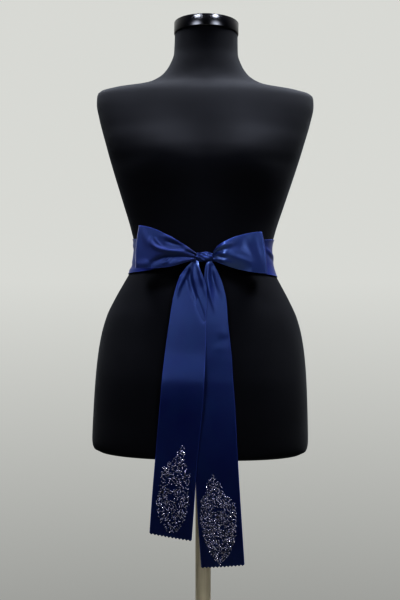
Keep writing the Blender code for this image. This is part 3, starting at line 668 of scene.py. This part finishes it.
def tail_shape(rows, folds, slant, teeth, tooth_depth):
    """A function that gives places on a tail, with a pinked end."""
    curves = table_curves(rows, "height")
    top, bottom = rows[0].height, rows[-1].height

    def shape(across, along):
        height = top + (bottom - top) * along
        left, right = curves["left"](height), curves["right"](height)
        x = left + (right - left) * across
        forward = tail_forward(curves, folds, x, height)
        tooth = 1 - np.abs(2 * ((across * teeth) % 1.0) - 1)
        tooth = tooth * np.clip((along - TOOTH_FADE) / (1 - TOOTH_FADE), 0, 1)
        drop = -slant * (across - 0.5) * along ** END_SLANT_FADE + tooth_depth * tooth
        return np.stack((x, -forward, height - drop), axis=1)

    return shape


# ---------------------------------------------------------------- meshes


def leaned(places):
    """Places of the form's own frame, tipped about the waist and turned to metres."""
    turn = radians(LEAN_DEGREES)
    up = places[:, 2] - LEAN_HEIGHT
    x = places[:, 0] * cos(turn) + up * sin(turn)
    z = LEAN_HEIGHT - places[:, 0] * sin(turn) + up * cos(turn)
    return np.stack((x, places[:, 1], z), axis=1) * MM


def new_piece(name, builder, materials, smooth_angle=50):
    """Makes a mesh object from a bmesh that is in metres, and rides it on the part's body."""
    mesh = bpy.data.meshes.new(name)
    builder.to_mesh(mesh)
    builder.free()
    mesh.shade_smooth()
    mesh.set_sharp_from_angle(angle=radians(smooth_angle))
    for item in materials:
        mesh.materials.append(item)
    piece = bpy.data.objects.new(name, mesh)
    bpy.context.scene.collection.objects.link(piece)
    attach(piece, BODY)
    return piece


def shaped_grid(columns, rows, shape, length_share, edge_share=None):
    """A grid laid out by a shape function, with a UV map in widths of the ribbon."""
    builder = bmesh.new()
    uv = builder.loops.layers.uv.new("cloth")
    bmesh.ops.create_grid(builder, x_segments=columns, y_segments=rows, size=1.0, calc_uvs=True)
    across = np.array([(vertex.co.x + 1) / 2 for vertex in builder.verts])
    along = np.array([(1 - vertex.co.y) / 2 for vertex in builder.verts])
    if edge_share:
        column = 1 / columns
        across = np.interp(across, (0, column, 1 - column, 1), (0, edge_share, 1 - edge_share, 1))
    for vertex, place in zip(builder.verts, leaned(shape(across, along))):
        vertex.co = place
    for face in builder.faces:
        for loop in face.loops:
            at = loop.vert.index
            loop[uv].uv = (across[at], along[at] * length_share)
    return builder


def satin_piece(name, builder, sizes, columns, closed=False):
    """A satin piece with a thin wall that thickens at its selvedges."""
    piece = new_piece(name, builder, [satin_material(closed), satin_reverse_material()])
    edges = [vertex.index for vertex in piece.data.vertices if vertex.index % (columns + 1) in (0, columns)]
    if not closed:
        piece.vertex_groups.new(name="selvedge").add(edges, 1.0, "REPLACE")
    wall = piece.modifiers.new("wall", "SOLIDIFY")
    wall.offset = 0.0
    wall.material_offset = 1
    wall.material_offset_rim = 1
    wall.thickness = sizes.thickness if closed else sizes.selvedge_thickness
    if not closed:
        wall.vertex_group = "selvedge"
        wall.thickness_vertex_group = sizes.thickness / sizes.selvedge_thickness
    for edge in piece.data.edges:
        if max(edge.vertices) <= columns:
            edge.use_edge_sharp = True
    return piece


def turned(name, profile, materials, is_leaned):
    """A piece turned round the upright axis from a half section."""
    builder = bmesh.new()
    verts = [builder.verts.new((radius * MM, 0.0, height * MM)) for radius, height in profile]
    edges = [builder.edges.new(pair) for pair in zip(verts[:-1], verts[1:])]
    bmesh.ops.spin(builder, geom=verts + edges, cent=(0, 0, 0), axis=(0, 0, 1), angle=2 * pi,
                   steps=TURNED_STEPS, use_merge=True)
    bmesh.ops.remove_doubles(builder, verts=builder.verts, dist=1e-6)
    bmesh.ops.recalc_face_normals(builder, faces=builder.faces)
    if is_leaned:
        bmesh.ops.transform(builder, matrix=lean_matrix(), verts=builder.verts)
    return new_piece(name, builder, materials, smooth_angle=35)


def lean_matrix():
    """Tips about the waist, in metres."""
    about = Matrix.Translation((0.0, 0.0, LEAN_HEIGHT * MM))
    return about @ Matrix.Rotation(radians(LEAN_DEGREES), 4, "Y") @ about.inverted()


# ---------------------------------------------------------------- materials


def new_material(name):
    """An empty node material with its shader, links and a way to add nodes."""
    made = bpy.data.materials.new(name)
    made.use_nodes = True
    tree = made.node_tree
    shader = tree.nodes["Principled BSDF"]
    return made, tree, shader


def add_node(tree, kind, **values):
    """Adds a node and sets its plain attributes."""
    node = tree.nodes.new(kind)
    for name, value in values.items():
        setattr(node, name, value)
    return node


def set_inputs(node, **values):
    """Sets sockets of a node by their names, with _ for a space."""
    for name, value in values.items():
        node.inputs[name.replace("_", " ")].default_value = value
    return node


def color_mix(tree, factor, first, second):
    """A colour mix between two colours by a factor socket."""
    mix = add_node(tree, "ShaderNodeMix", data_type="RGBA")
    tree.links.new(factor, mix.inputs[0])
    for socket, value in ((mix.inputs[6], first), (mix.inputs[7], second)):
        if isinstance(value, bpy.types.NodeSocket):
            tree.links.new(value, socket)
        else:
            socket.default_value = (*value, 1.0)
    return mix.outputs[2]


def scaled_uv(tree, scale):
    """The cloth's UV map with its own scale across and along."""
    uv = add_node(tree, "ShaderNodeUVMap", uv_map="cloth")
    mapping = add_node(tree, "ShaderNodeMapping")
    mapping.inputs["Scale"].default_value = scale
    tree.links.new(uv.outputs["UV"], mapping.inputs["Vector"])
    return mapping.outputs["Vector"]


def noise(tree, vector, scale, detail=2.0, roughness=0.5):
    """A noise texture's value."""
    made = set_inputs(add_node(tree, "ShaderNodeTexNoise"), Scale=scale, Detail=detail, Roughness=roughness)
    tree.links.new(vector, made.inputs["Vector"])
    return made.outputs["Fac"]


def ramp(tree, value, low, high, to_low=0.0, to_high=1.0):
    """A value mapped from one range to another, and kept in it."""
    made = set_inputs(add_node(tree, "ShaderNodeMapRange"), From_Min=low, From_Max=high,
                      To_Min=to_low, To_Max=to_high)
    tree.links.new(value, made.inputs["Value"])
    return made.outputs["Result"]


def math_node(tree, operation, *values):
    """A math node on sockets or numbers."""
    made = add_node(tree, "ShaderNodeMath", operation=operation)
    for socket, value in zip(made.inputs, values):
        if isinstance(value, bpy.types.NodeSocket):
            tree.links.new(value, socket)
        else:
            socket.default_value = value
    return made.outputs[0]


def bumped(tree, shader, height, distance, strength=1.0):
    """Adds a bump to a shader."""
    bump = set_inputs(add_node(tree, "ShaderNodeBump"), Strength=strength, Distance=distance)
    tree.links.new(height, bump.inputs["Height"])
    tree.links.new(bump.outputs["Normal"], shader.inputs["Normal"])


def satin_color(tree, finish):
    """The satin's colour: navy with faint cooler clouds and a lighter woven edge, which is partly the
    selvedge's own weave and partly a painted highlight.
    """
    clouds = ramp(tree, noise(tree, scaled_uv(tree, (2.2, 1.6, 1.0)), 1.0, 3.0), 0.42, 0.62)
    cloth = color_mix(tree, clouds, finish.navy, finish.teal)
    uv = add_node(tree, "ShaderNodeSeparateXYZ")
    tree.links.new(scaled_uv(tree, (1.0, 1.0, 1.0)), uv.inputs["Vector"])
    off_middle = math_node(tree, "ABSOLUTE", math_node(tree, "SUBTRACT", uv.outputs["X"], 0.5))
    # The edge is painted lighter: partly its own weave, partly a painted highlight along the selvedge.
    edge = ramp(tree, off_middle, 0.478, 0.486)
    return color_mix(tree, edge, cloth, (0.006, 0.010, 0.060)), edge


def satin_material(creased=False):
    """The bright face of the satin: long floats over a fine weave, duller where it is creased."""
    name = "satin_creased" if creased else "satin_face"
    found = bpy.data.materials.get(name)
    if found:
        return found
    finish = bpy.context.scene.satin_finish
    made, tree, shader = new_material(name)
    color, edge = satin_color(tree, finish)
    tree.links.new(color, shader.inputs["Base Color"])
    set_inputs(shader, IOR=1.75 if creased else finish.ior, Anisotropic=0.3 if creased else 0.65,
               Sheen_Weight=0.02, Sheen_Roughness=0.35)
    shader.inputs["Specular Tint"].default_value = (*finish.shine, 1.0)
    shader.inputs["Sheen Tint"].default_value = (0.75, 0.78, 1.0, 1.0)
    worn = noise(tree, scaled_uv(tree, (3.0, 2.0, 1.0)), 1.0, 3.0)
    roughness = finish.roughness + (0.12 if creased else 0.0)
    spread = ramp(tree, worn, 0.3, 0.7, roughness - 0.03, roughness + 0.04)
    rough = add_node(tree, "ShaderNodeMix", data_type="FLOAT")
    tree.links.new(edge, rough.inputs[0])
    tree.links.new(spread, rough.inputs[2])
    rough.inputs[3].default_value = 0.5
    tree.links.new(rough.outputs[0], shader.inputs["Roughness"])
    tangent = add_node(tree, "ShaderNodeTangent", direction_type="UV_MAP", uv_map="cloth")
    tree.links.new(tangent.outputs["Tangent"], shader.inputs["Tangent"])
    floats = noise(tree, scaled_uv(tree, (180.0, 14.0, 1.0)), 1.0, 1.0)
    ribs = add_node(tree, "ShaderNodeTexWave", wave_type="BANDS", bands_direction="Y")
    set_inputs(ribs, Scale=26.0, Distortion=0.6, Detail=1.0)
    tree.links.new(scaled_uv(tree, (1.0, 1.0, 1.0)), ribs.inputs["Vector"])
    weave = math_node(tree, "ADD", floats, math_node(tree, "MULTIPLY", ribs.outputs["Fac"], 0.35))
    bumped(tree, shader, weave, 0.00003)
    return made


def satin_reverse_material():
    """The dull back of the satin, where the weft shows."""
    found = bpy.data.materials.get("satin_reverse")
    if found:
        return found
    finish = bpy.context.scene.satin_finish
    made, tree, shader = new_material("satin_reverse")
    color, _ = satin_color(tree, finish)
    tree.links.new(color, shader.inputs["Base Color"])
    set_inputs(shader, Roughness=0.6, IOR=1.6, Sheen_Weight=0.1)
    shader.inputs["Specular Tint"].default_value = (*finish.shine, 1.0)
    ribs = add_node(tree, "ShaderNodeTexWave", wave_type="BANDS", bands_direction="Y")
    set_inputs(ribs, Scale=40.0, Distortion=0.4, Detail=1.0)
    tree.links.new(scaled_uv(tree, (1.0, 1.0, 1.0)), ribs.inputs["Vector"])
    bumped(tree, shader, ribs.outputs["Fac"], 0.00004)
    return made


def jersey_material():
    """The black jersey of the form: fine ribs, slightly uneven, with a soft bloom at its sides."""
    finish = bpy.context.scene.form_finish
    made, tree, shader = new_material("black_jersey")
    coordinates = add_node(tree, "ShaderNodeTexCoord").outputs["Object"]
    patches = ramp(tree, noise(tree, coordinates, 9.0, 3.0), 0.3, 0.7, 0.85, 1.15)
    shade = add_node(tree, "ShaderNodeVectorMath", operation="SCALE")
    shade.inputs[0].default_value = finish.cover
    tree.links.new(patches, shade.inputs["Scale"])
    tree.links.new(shade.outputs["Vector"], shader.inputs["Base Color"])
    set_inputs(shader, Sheen_Weight=0.015, Sheen_Roughness=0.4, IOR=1.45, Specular_IOR_Level=0.012)
    shader.inputs["Sheen Tint"].default_value = (0.9, 0.93, 1.0, 1.0)
    tree.links.new(
        ramp(tree, noise(tree, coordinates, 30.0, 2.0), 0.3, 0.7,
             finish.cover_roughness - 0.05, finish.cover_roughness + 0.05),
        shader.inputs["Roughness"])
    knit = scaled_uv(tree, (520.0, 900.0, 1.0))
    wales = add_node(tree, "ShaderNodeTexWave", wave_type="BANDS", bands_direction="X")
    set_inputs(wales, Scale=1.0, Distortion=0.0)
    tree.links.new(knit, wales.inputs["Vector"])
    courses = add_node(tree, "ShaderNodeTexWave", wave_type="BANDS", bands_direction="Y")
    set_inputs(courses, Scale=1.0, Distortion=0.0)
    tree.links.new(knit, courses.inputs["Vector"])
    stitches = math_node(tree, "MULTIPLY", wales.outputs["Fac"], courses.outputs["Fac"])
    bumped(tree, shader, stitches, 0.00008, strength=0.7)
    return made


def cap_material():
    """The black cap: smooth and half glossy, with the faintest orange peel."""
    finish = bpy.context.scene.form_finish
    made, tree, shader = new_material("black_cap")
    coordinates = add_node(tree, "ShaderNodeTexCoord").outputs["Object"]
    shader.inputs["Base Color"].default_value = (*finish.cap, 1.0)
    wear = noise(tree, coordinates, 60.0, 3.0)
    tree.links.new(ramp(tree, wear, 0.3, 0.7, 0.2, 0.26), shader.inputs["Roughness"])
    set_inputs(shader, IOR=1.7, Specular_IOR_Level=0.5)
    bumped(tree, shader, noise(tree, coordinates, 400.0, 1.0), 0.00002)
    return made


def steel_material():
    """Polished steel with fine drawn lines and a warm cast."""
    finish = bpy.context.scene.form_finish
    made, tree, shader = new_material("polished_steel")
    coordinates = add_node(tree, "ShaderNodeTexCoord").outputs["Object"]
    stretched = add_node(tree, "ShaderNodeMapping")
    stretched.inputs["Scale"].default_value = (900.0, 900.0, 6.0)
    tree.links.new(coordinates, stretched.inputs["Vector"])
    lines = noise(tree, stretched.outputs["Vector"], 1.0, 2.0)
    tone = ramp(tree, lines, 0.35, 0.65, 0.92, 1.06)
    shade = add_node(tree, "ShaderNodeVectorMath", operation="SCALE")
    shade.inputs[0].default_value = finish.steel
    tree.links.new(tone, shade.inputs["Scale"])
    tree.links.new(shade.outputs["Vector"], shader.inputs["Base Color"])
    tree.links.new(ramp(tree, lines, 0.3, 0.7, 0.42, 0.5), shader.inputs["Roughness"])
    set_inputs(shader, Metallic=1.0)
    bumped(tree, shader, lines, 0.00001)
    return made


def board_material():
    """The board under the form: black paper over fibre board."""
    made, tree, shader = new_material("black_board")
    coordinates = add_node(tree, "ShaderNodeTexCoord").outputs["Object"]
    fibres = noise(tree, coordinates, 180.0, 4.0)
    tree.links.new(color_mix(tree, fibres, (0.006, 0.006, 0.007), (0.013, 0.013, 0.014)),
                   shader.inputs["Base Color"])
    set_inputs(shader, Roughness=0.8)
    bumped(tree, shader, fibres, 0.0001)
    return made


def bead_material(name, color, metallic, roughness, transmission):
    """Glass beads whose tint and polish change a little from bead to bead."""
    made, tree, shader = new_material(name)
    coordinates = add_node(tree, "ShaderNodeTexCoord").outputs["Object"]
    tint = noise(tree, coordinates, 260.0, 0.0)
    darker = tuple(value * 0.45 for value in color)
    tree.links.new(color_mix(tree, ramp(tree, tint, 0.35, 0.65), darker, color),
                   shader.inputs["Base Color"])
    tree.links.new(ramp(tree, tint, 0.3, 0.7, roughness, roughness + 0.15), shader.inputs["Roughness"])
    set_inputs(shader, Metallic=metallic, IOR=1.55, Transmission_Weight=transmission)
    return made


def thread_material():
    """Navy sewing thread."""
    made, tree, shader = new_material("navy_thread")
    coordinates = add_node(tree, "ShaderNodeTexCoord").outputs["Object"]
    twist = noise(tree, coordinates, 900.0, 1.0)
    tree.links.new(color_mix(tree, twist, (0.004, 0.006, 0.03), (0.012, 0.018, 0.08)),
                   shader.inputs["Base Color"])
    set_inputs(shader, Roughness=0.7)
    bumped(tree, shader, twist, 0.0001)
    return made


# ---------------------------------------------------------------- operators


class SASH_OT_form_body(bpy.types.Operator):
    """Model the padded body with its jersey cover and the board under it"""

    bl_idname = "sash.form_body"
    bl_label = "Form body"

    def execute(self, context):
        def shape(across, along):
            turn = -pi + 2 * pi * across
            height = NECK_TOP + (TORSO_BOTTOM - NECK_TOP) * along
            return torso_surface(height, turn, np.zeros_like(height))

        builder = shaped_grid(FORM_COLUMNS, FORM_ROWS, shape, 1.0)
        bmesh.ops.remove_doubles(builder, verts=builder.verts, dist=1e-6)
        self.turn_hem(builder)
        bmesh.ops.holes_fill(builder, edges=[edge for edge in builder.edges if edge.is_boundary])
        bmesh.ops.recalc_face_normals(builder, faces=builder.faces)
        for face in builder.faces:
            below = face.calc_center_median().z < (TORSO_BOTTOM + 8) * MM and len(face.verts) > 4
            face.material_index = 1 if below else 0
        body = new_piece("form_body", builder, [jersey_material(), board_material()])
        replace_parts(body, "torso")
        return {"FINISHED"}

    def turn_hem(self, builder):
        """Turns the cover in under the body and steps up to the board."""
        middle = lean_matrix() @ Vector((0.0, 0.0, TORSO_BOTTOM * MM))
        for inward, rise in ((HEM_WIDTH, -0.2), (0.4, HEM_STEP)):
            rim = [edge for edge in builder.edges if edge.is_boundary and edge.verts[0].co.z < 1.0]
            made = bmesh.ops.extrude_edge_only(builder, edges=rim)
            for vertex in (item for item in made["geom"] if isinstance(item, bmesh.types.BMVert)):
                arm = Vector((vertex.co.x - middle.x, vertex.co.y - middle.y, 0.0))
                vertex.co -= arm.normalized() * inward * MM
                vertex.co.z += rise * MM


class SASH_OT_neck_cap(bpy.types.Operator):
    """Turn the neck cap"""

    bl_idname = "sash.neck_cap"
    bl_label = "Neck cap"

    def execute(self, context):
        cap = turned("form_cap", CAP_PROFILE, [cap_material()], is_leaned=True)
        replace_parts(cap, "neck_cap")
        return {"FINISHED"}


class SASH_OT_stand(bpy.types.Operator):
    """Turn the plate, pole and foot of the stand"""

    bl_idname = "sash.stand"
    bl_label = "Stand"

    def execute(self, context):
        steel = [steel_material()]
        plate = turned("stand_plate", PLATE_PROFILE, steel, is_leaned=True)
        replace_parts(plate, "torso_plate")
        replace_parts(turned("stand_pole", POLE_PROFILE, steel, is_leaned=False), "pole")
        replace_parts(turned("stand_foot", FOOT_PROFILE, steel, is_leaned=False), "base")
        return {"FINISHED"}


class SASH_OT_waist_band(bpy.types.Operator):
    """Wind the ribbon round the waist"""

    bl_idname = "sash.waist_band"
    bl_label = "Waist band"

    def execute(self, context):
        sizes = context.scene.sash_sizes
        builder = shaped_grid(BAND_SPANS_UP, BAND_COLUMNS, band_shape, 9.5, edge_share=0.018)
        band = satin_piece("satin_band", builder, sizes, BAND_SPANS_UP)
        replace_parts(band, "waist_band")
        return {"FINISHED"}


class SASH_OT_bow_loops(bpy.types.Operator):
    """Fold the two loops of the bow"""

    bl_idname = "sash.bow_loops"
    bl_label = "Bow loops"

    def execute(self, context):
        sizes = context.scene.sash_sizes
        for name, node, ribs, side, folds in (
            ("satin_loop_left", "loop_left", LOOP_LEFT_RIBS, -1, LOOP_LEFT_FOLDS),
            ("satin_loop_right", "loop_right", LOOP_RIGHT_RIBS, 1, LOOP_RIGHT_FOLDS),
        ):
            builder = shaped_grid(LOOP_SPANS_ACROSS, LOOP_SPANS_ALONG, loop_shape(ribs, side, folds),
                                  3.1, edge_share=0.018)
            loop = satin_piece(name, builder, sizes, LOOP_SPANS_ACROSS)
            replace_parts(loop, node)
        return {"FINISHED"}


class SASH_OT_knot(bpy.types.Operator):
    """Wrap the knot over the middle of the bow"""

    bl_idname = "sash.knot"
    bl_label = "Knot"

    def execute(self, context):
        sizes = context.scene.sash_sizes
        builder = shaped_grid(KNOT_COLUMNS, KNOT_SPANS, knot_shape, 0.4)
        bmesh.ops.remove_doubles(builder, verts=builder.verts, dist=1e-6)
        knot = satin_piece("satin_knot", builder, sizes, KNOT_COLUMNS, closed=True)
        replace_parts(knot, "knot")
        return {"FINISHED"}


class SASH_OT_tails(bpy.types.Operator):
    """Hang the two pinked ends"""

    bl_idname = "sash.tails"
    bl_label = "Tails"

    def execute(self, context):
        sizes = context.scene.sash_sizes
        for name, node, rows, folds, slant, length in (
            ("satin_tail_left", "tail_left", TAIL_LEFT_ROWS, TAIL_LEFT_FOLDS, LEFT_END_SLANT, 0.46),
            ("satin_tail_right", "tail_right", TAIL_RIGHT_ROWS, TAIL_RIGHT_FOLDS, RIGHT_END_SLANT, 0.51),
        ):
            shape = tail_shape(rows, folds, slant, sizes.teeth, sizes.tooth_depth / MM)
            builder = shaped_grid(TAIL_SPANS_ACROSS, TAIL_SPANS_ALONG, shape,
                                  length / sizes.ribbon_width, edge_share=0.018)
            tail = satin_piece(name, builder, sizes, TAIL_SPANS_ACROSS)
            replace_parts(tail, node)
        return {"FINISHED"}


class SASH_OT_beads(bpy.types.Operator):
    """Sew the glass beads on both ends"""

    bl_idname = "sash.beads"
    bl_label = "Beads"

    def execute(self, context):
        sizes = context.scene.bead_sizes
        clear = bead_material("clear_glass", (0.34, 0.33, 0.42), 0.35, 0.14, 0.05)
        silver = bead_material("silver_lined_glass", (0.78, 0.76, 0.86), 0.85, 0.12, 0.0)
        for name, rows, folds, outline, bare, count, seed in (
            ("beads_left", TAIL_LEFT_ROWS, TAIL_LEFT_FOLDS, BEADS_LEFT_OUTLINE, BEADS_LEFT_BARE,
             sizes.left_count, 11),
            ("beads_right", TAIL_RIGHT_ROWS, TAIL_RIGHT_FOLDS, BEADS_RIGHT_OUTLINE,
             BEADS_RIGHT_BARE, sizes.right_count, 23),
        ):
            chance = Random(seed)
            curves = table_curves(rows, "height")
            builder = bmesh.new()
            for x, z in scattered(outline, bare, count, sizes.spacing / MM, chance):
                forward = float(tail_forward(curves, folds, np.array([x]), np.array([z]))[0])
                self.add_bead(builder, sizes, chance, x, forward, z)
            bmesh.ops.transform(builder, matrix=lean_matrix(), verts=builder.verts)
            new_piece(name, builder, [clear, silver], smooth_angle=30)
        return {"FINISHED"}

    def add_bead(self, builder, sizes, chance, x, forward, z):
        """Adds one bugle bead or cut stone that lies on the cloth."""
        silver = 1 if chance.random() < SILVER_SHARE else 0
        turn = Matrix.Rotation(chance.uniform(0, pi), 4, "Y")
        tip = Matrix.Rotation(chance.uniform(-0.25, 0.25), 4, "X")
        before = set(builder.faces)
        if chance.random() < STONE_SHARE:
            lift = sizes.stone_width * 0.30
            place = Matrix.Translation((x * MM, -forward * MM - lift, z * MM))
            squash = Matrix.Diagonal((0.5, 0.32, 0.5, 1.0))
            bmesh.ops.create_icosphere(builder, subdivisions=1, radius=sizes.stone_width,
                                       matrix=place @ turn @ tip @ squash)
        else:
            length = chance.uniform(sizes.shortest, sizes.longest)
            lift = sizes.bore_width * 0.62
            place = Matrix.Translation((x * MM, -forward * MM - lift, z * MM))
            bmesh.ops.create_cone(builder, cap_ends=True, segments=BUGLE_SIDES,
                                  radius1=sizes.bore_width / 2, radius2=sizes.bore_width / 2,
                                  depth=length, matrix=place @ turn @ tip)
        for face in set(builder.faces) - before:
            face.material_index = silver


def inside(outline, x, z):
    """True if a place is inside a closed outline."""
    found = False
    for (x_a, z_a), (x_b, z_b) in zip(outline, outline[1:] + outline[:1]):
        if (z_a > z) != (z_b > z) and x < x_a + (x_b - x_a) * (z - z_a) / (z_b - z_a):
            found = not found
    return found


def scattered(outline, bare, count, spacing, chance):
    """Places scattered evenly inside an outline, away from bare spots and each other."""
    low_x, high_x = min(x for x, _ in outline), max(x for x, _ in outline)
    low_z, high_z = min(z for _, z in outline), max(z for _, z in outline)
    places = []
    for _ in range(BEAD_TRIES):
        x, z = chance.uniform(low_x, high_x), chance.uniform(low_z, high_z)
        spoiled = any(((x - spot.x) / spot.half_wide) ** 2 + ((z - spot.z) / spot.half_tall) ** 2 < 1
                      for spot in bare)
        crowded = any((x - a) ** 2 + (z - b) ** 2 < spacing ** 2 for a, b in places)
        if inside(outline, x, z) and not spoiled and not crowded:
            places.append((x, z))
        if len(places) == count:
            break
    return places


class SASH_OT_studio(bpy.types.Operator):
    """Set up the floor, the pale surroundings, the soft lights and the camera"""

    bl_idname = "sash.studio"
    bl_label = "Studio"

    def execute(self, context):
        light = context.scene.studio_light
        self.add_floor(light)
        self.add_surroundings(context.scene, light)
        for name, place, aim in WINDOWS:
            self.add_light(name, place, aim, WINDOW_SIZE, light.window_power, light.window_color,
                           WINDOW_SPREAD)
        for name, place, aim in SKYLIGHTS:
            self.add_light(name, place, aim, SKYLIGHT_SIZE, light.skylight_power, light.window_color,
                           SKYLIGHT_SPREAD)
        ceiling = self.add_light("ceiling", CEILING_PLACE, CEILING_AIM, CEILING_SIZE,
                                 light.ceiling_power, light.ceiling_color, 180.0)
        ceiling.visible_glossy = False
        lens = bpy.data.cameras.new("camera")
        lens.sensor_width = SENSOR
        lens.lens = SENSOR / 0.7
        camera = bpy.data.objects.new("camera", lens)
        camera.location = CAMERA_PLACE
        camera.rotation_euler = (pi / 2, 0.0, 0.0)
        context.scene.collection.objects.link(camera)
        context.scene.camera = camera
        context.scene.view_settings.view_transform = "Standard"
        context.scene.view_settings.look = "High Contrast"
        return {"FINISHED"}

    def add_light(self, name, place, aim, size, power, color, spread):
        """A soft rectangular light at a place, turned to the place that it aims at."""
        data = bpy.data.lights.new(name, "AREA")
        data.shape = "RECTANGLE"
        data.size, data.size_y = size
        data.energy = power
        data.color = color
        data.spread = radians(spread)
        lamp = bpy.data.objects.new(name, data)
        lamp.location = place
        lamp.rotation_euler = (Vector(place) - Vector(aim)).to_track_quat("Z", "Y").to_euler()
        bpy.context.scene.collection.objects.link(lamp)
        return lamp

    def add_floor(self, light):
        """A pale round floor that fades into its surroundings."""
        builder = bmesh.new()
        bmesh.ops.create_circle(builder, cap_ends=True, segments=96, radius=FLOOR_RADIUS)
        mesh = bpy.data.meshes.new("floor")
        builder.to_mesh(mesh)
        builder.free()
        made, tree, shader = new_material("pale_floor")
        coordinates = add_node(tree, "ShaderNodeTexCoord").outputs["Object"]
        grain = noise(tree, coordinates, 40.0, 4.0)
        color = tuple(light.floor)
        tree.links.new(color_mix(tree, grain, tuple(value * 0.97 for value in color), color),
                       shader.inputs["Base Color"])
        set_inputs(shader, Roughness=0.75)
        away = add_node(tree, "ShaderNodeVectorMath", operation="LENGTH")
        tree.links.new(coordinates, away.inputs[0])
        tree.links.new(ramp(tree, away.outputs["Value"], 0.5, 1.3, 1.0, 0.0), shader.inputs["Alpha"])
        mesh.materials.append(made)
        floor = bpy.data.objects.new("floor", mesh)
        bpy.context.scene.collection.objects.link(floor)

    def add_surroundings(self, scene, light):
        """Pale wall for the camera, with painted shade that darkens it towards the bottom; for the light, a
        room that is pale behind and dim in front.
        """
        world = bpy.data.worlds.new("studio")
        world.use_nodes = True
        tree = world.node_tree
        background = tree.nodes["Background"]
        way = add_node(tree, "ShaderNodeSeparateXYZ")
        tree.links.new(add_node(tree, "ShaderNodeTexCoord").outputs["Generated"], way.inputs["Vector"])
        # Painted shade: the wall that the camera sees darkens towards the bottom.
        shade = ramp(tree, way.outputs["Z"], -0.35, 0.02, 0.55, 1.0)
        wall = color_mix(tree, shade, (0.0, 0.0, 0.0), tuple(light.wall))
        behind = ramp(tree, way.outputs["Y"], -0.32, 0.7, 0.006, 1.0)
        low = ramp(tree, way.outputs["Z"], -0.5, 0.4, 0.15, 1.0)
        room = color_mix(tree, math_node(tree, "MULTIPLY", behind, low), (0.0, 0.0, 0.0), tuple(light.wall))
        seen = add_node(tree, "ShaderNodeLightPath").outputs["Is Camera Ray"]
        tree.links.new(color_mix(tree, seen, room, wall), background.inputs["Color"])
        scene.world = world


class SASH_PT_panel(bpy.types.Panel):
    """Lists the pieces of the sash, its form and the studio"""

    bl_idname = "SASH_PT_panel"
    bl_label = "Satin sash"
    bl_space_type = "VIEW_3D"
    bl_region_type = "UI"
    bl_category = "Sash"

    def draw(self, context):
        scene = context.scene
        for label, group in (
            ("Ribbon", scene.sash_sizes),
            ("Satin", scene.satin_finish),
            ("Beads", scene.bead_sizes),
            ("Form", scene.form_finish),
            ("Studio", scene.studio_light),
        ):
            box = self.layout.box()
            box.label(text=label)
            for name in group.__annotations__:
                box.prop(group, name)
        for operator in OPERATORS:
            self.layout.operator(operator.bl_idname)


GROUPS = {
    "sash_sizes": SashSizes,
    "satin_finish": SatinFinish,
    "bead_sizes": BeadSizes,
    "form_finish": FormFinish,
    "studio_light": StudioLight,
}
OPERATORS = (
    SASH_OT_form_body,
    SASH_OT_neck_cap,
    SASH_OT_stand,
    SASH_OT_waist_band,
    SASH_OT_bow_loops,
    SASH_OT_knot,
    SASH_OT_tails,
    SASH_OT_beads,
    SASH_OT_studio,
)


def register():
    """Registers the settings, the operators and the panel."""
    for name, group in GROUPS.items():
        bpy.utils.register_class(group)
        setattr(bpy.types.Scene, name, PointerProperty(type=group))
    for operator in OPERATORS:
        bpy.utils.register_class(operator)
    bpy.utils.register_class(SASH_PT_panel)


def unregister():
    """Takes all of it away again."""
    bpy.utils.unregister_class(SASH_PT_panel)
    for operator in reversed(OPERATORS):
        bpy.utils.unregister_class(operator)
    for name, group in reversed(GROUPS.items()):
        delattr(bpy.types.Scene, name)
        bpy.utils.unregister_class(group)


def main():
    """Makes every piece in order."""
    register()
    bpy.ops.sash.form_body()
    bpy.ops.sash.neck_cap()
    bpy.ops.sash.stand()
    bpy.ops.sash.waist_band()
    bpy.ops.sash.knot()
    bpy.ops.sash.bow_loops()
    bpy.ops.sash.tails()
    bpy.ops.sash.beads()
    bpy.ops.sash.studio()


if __name__ == "__main__":
    main()
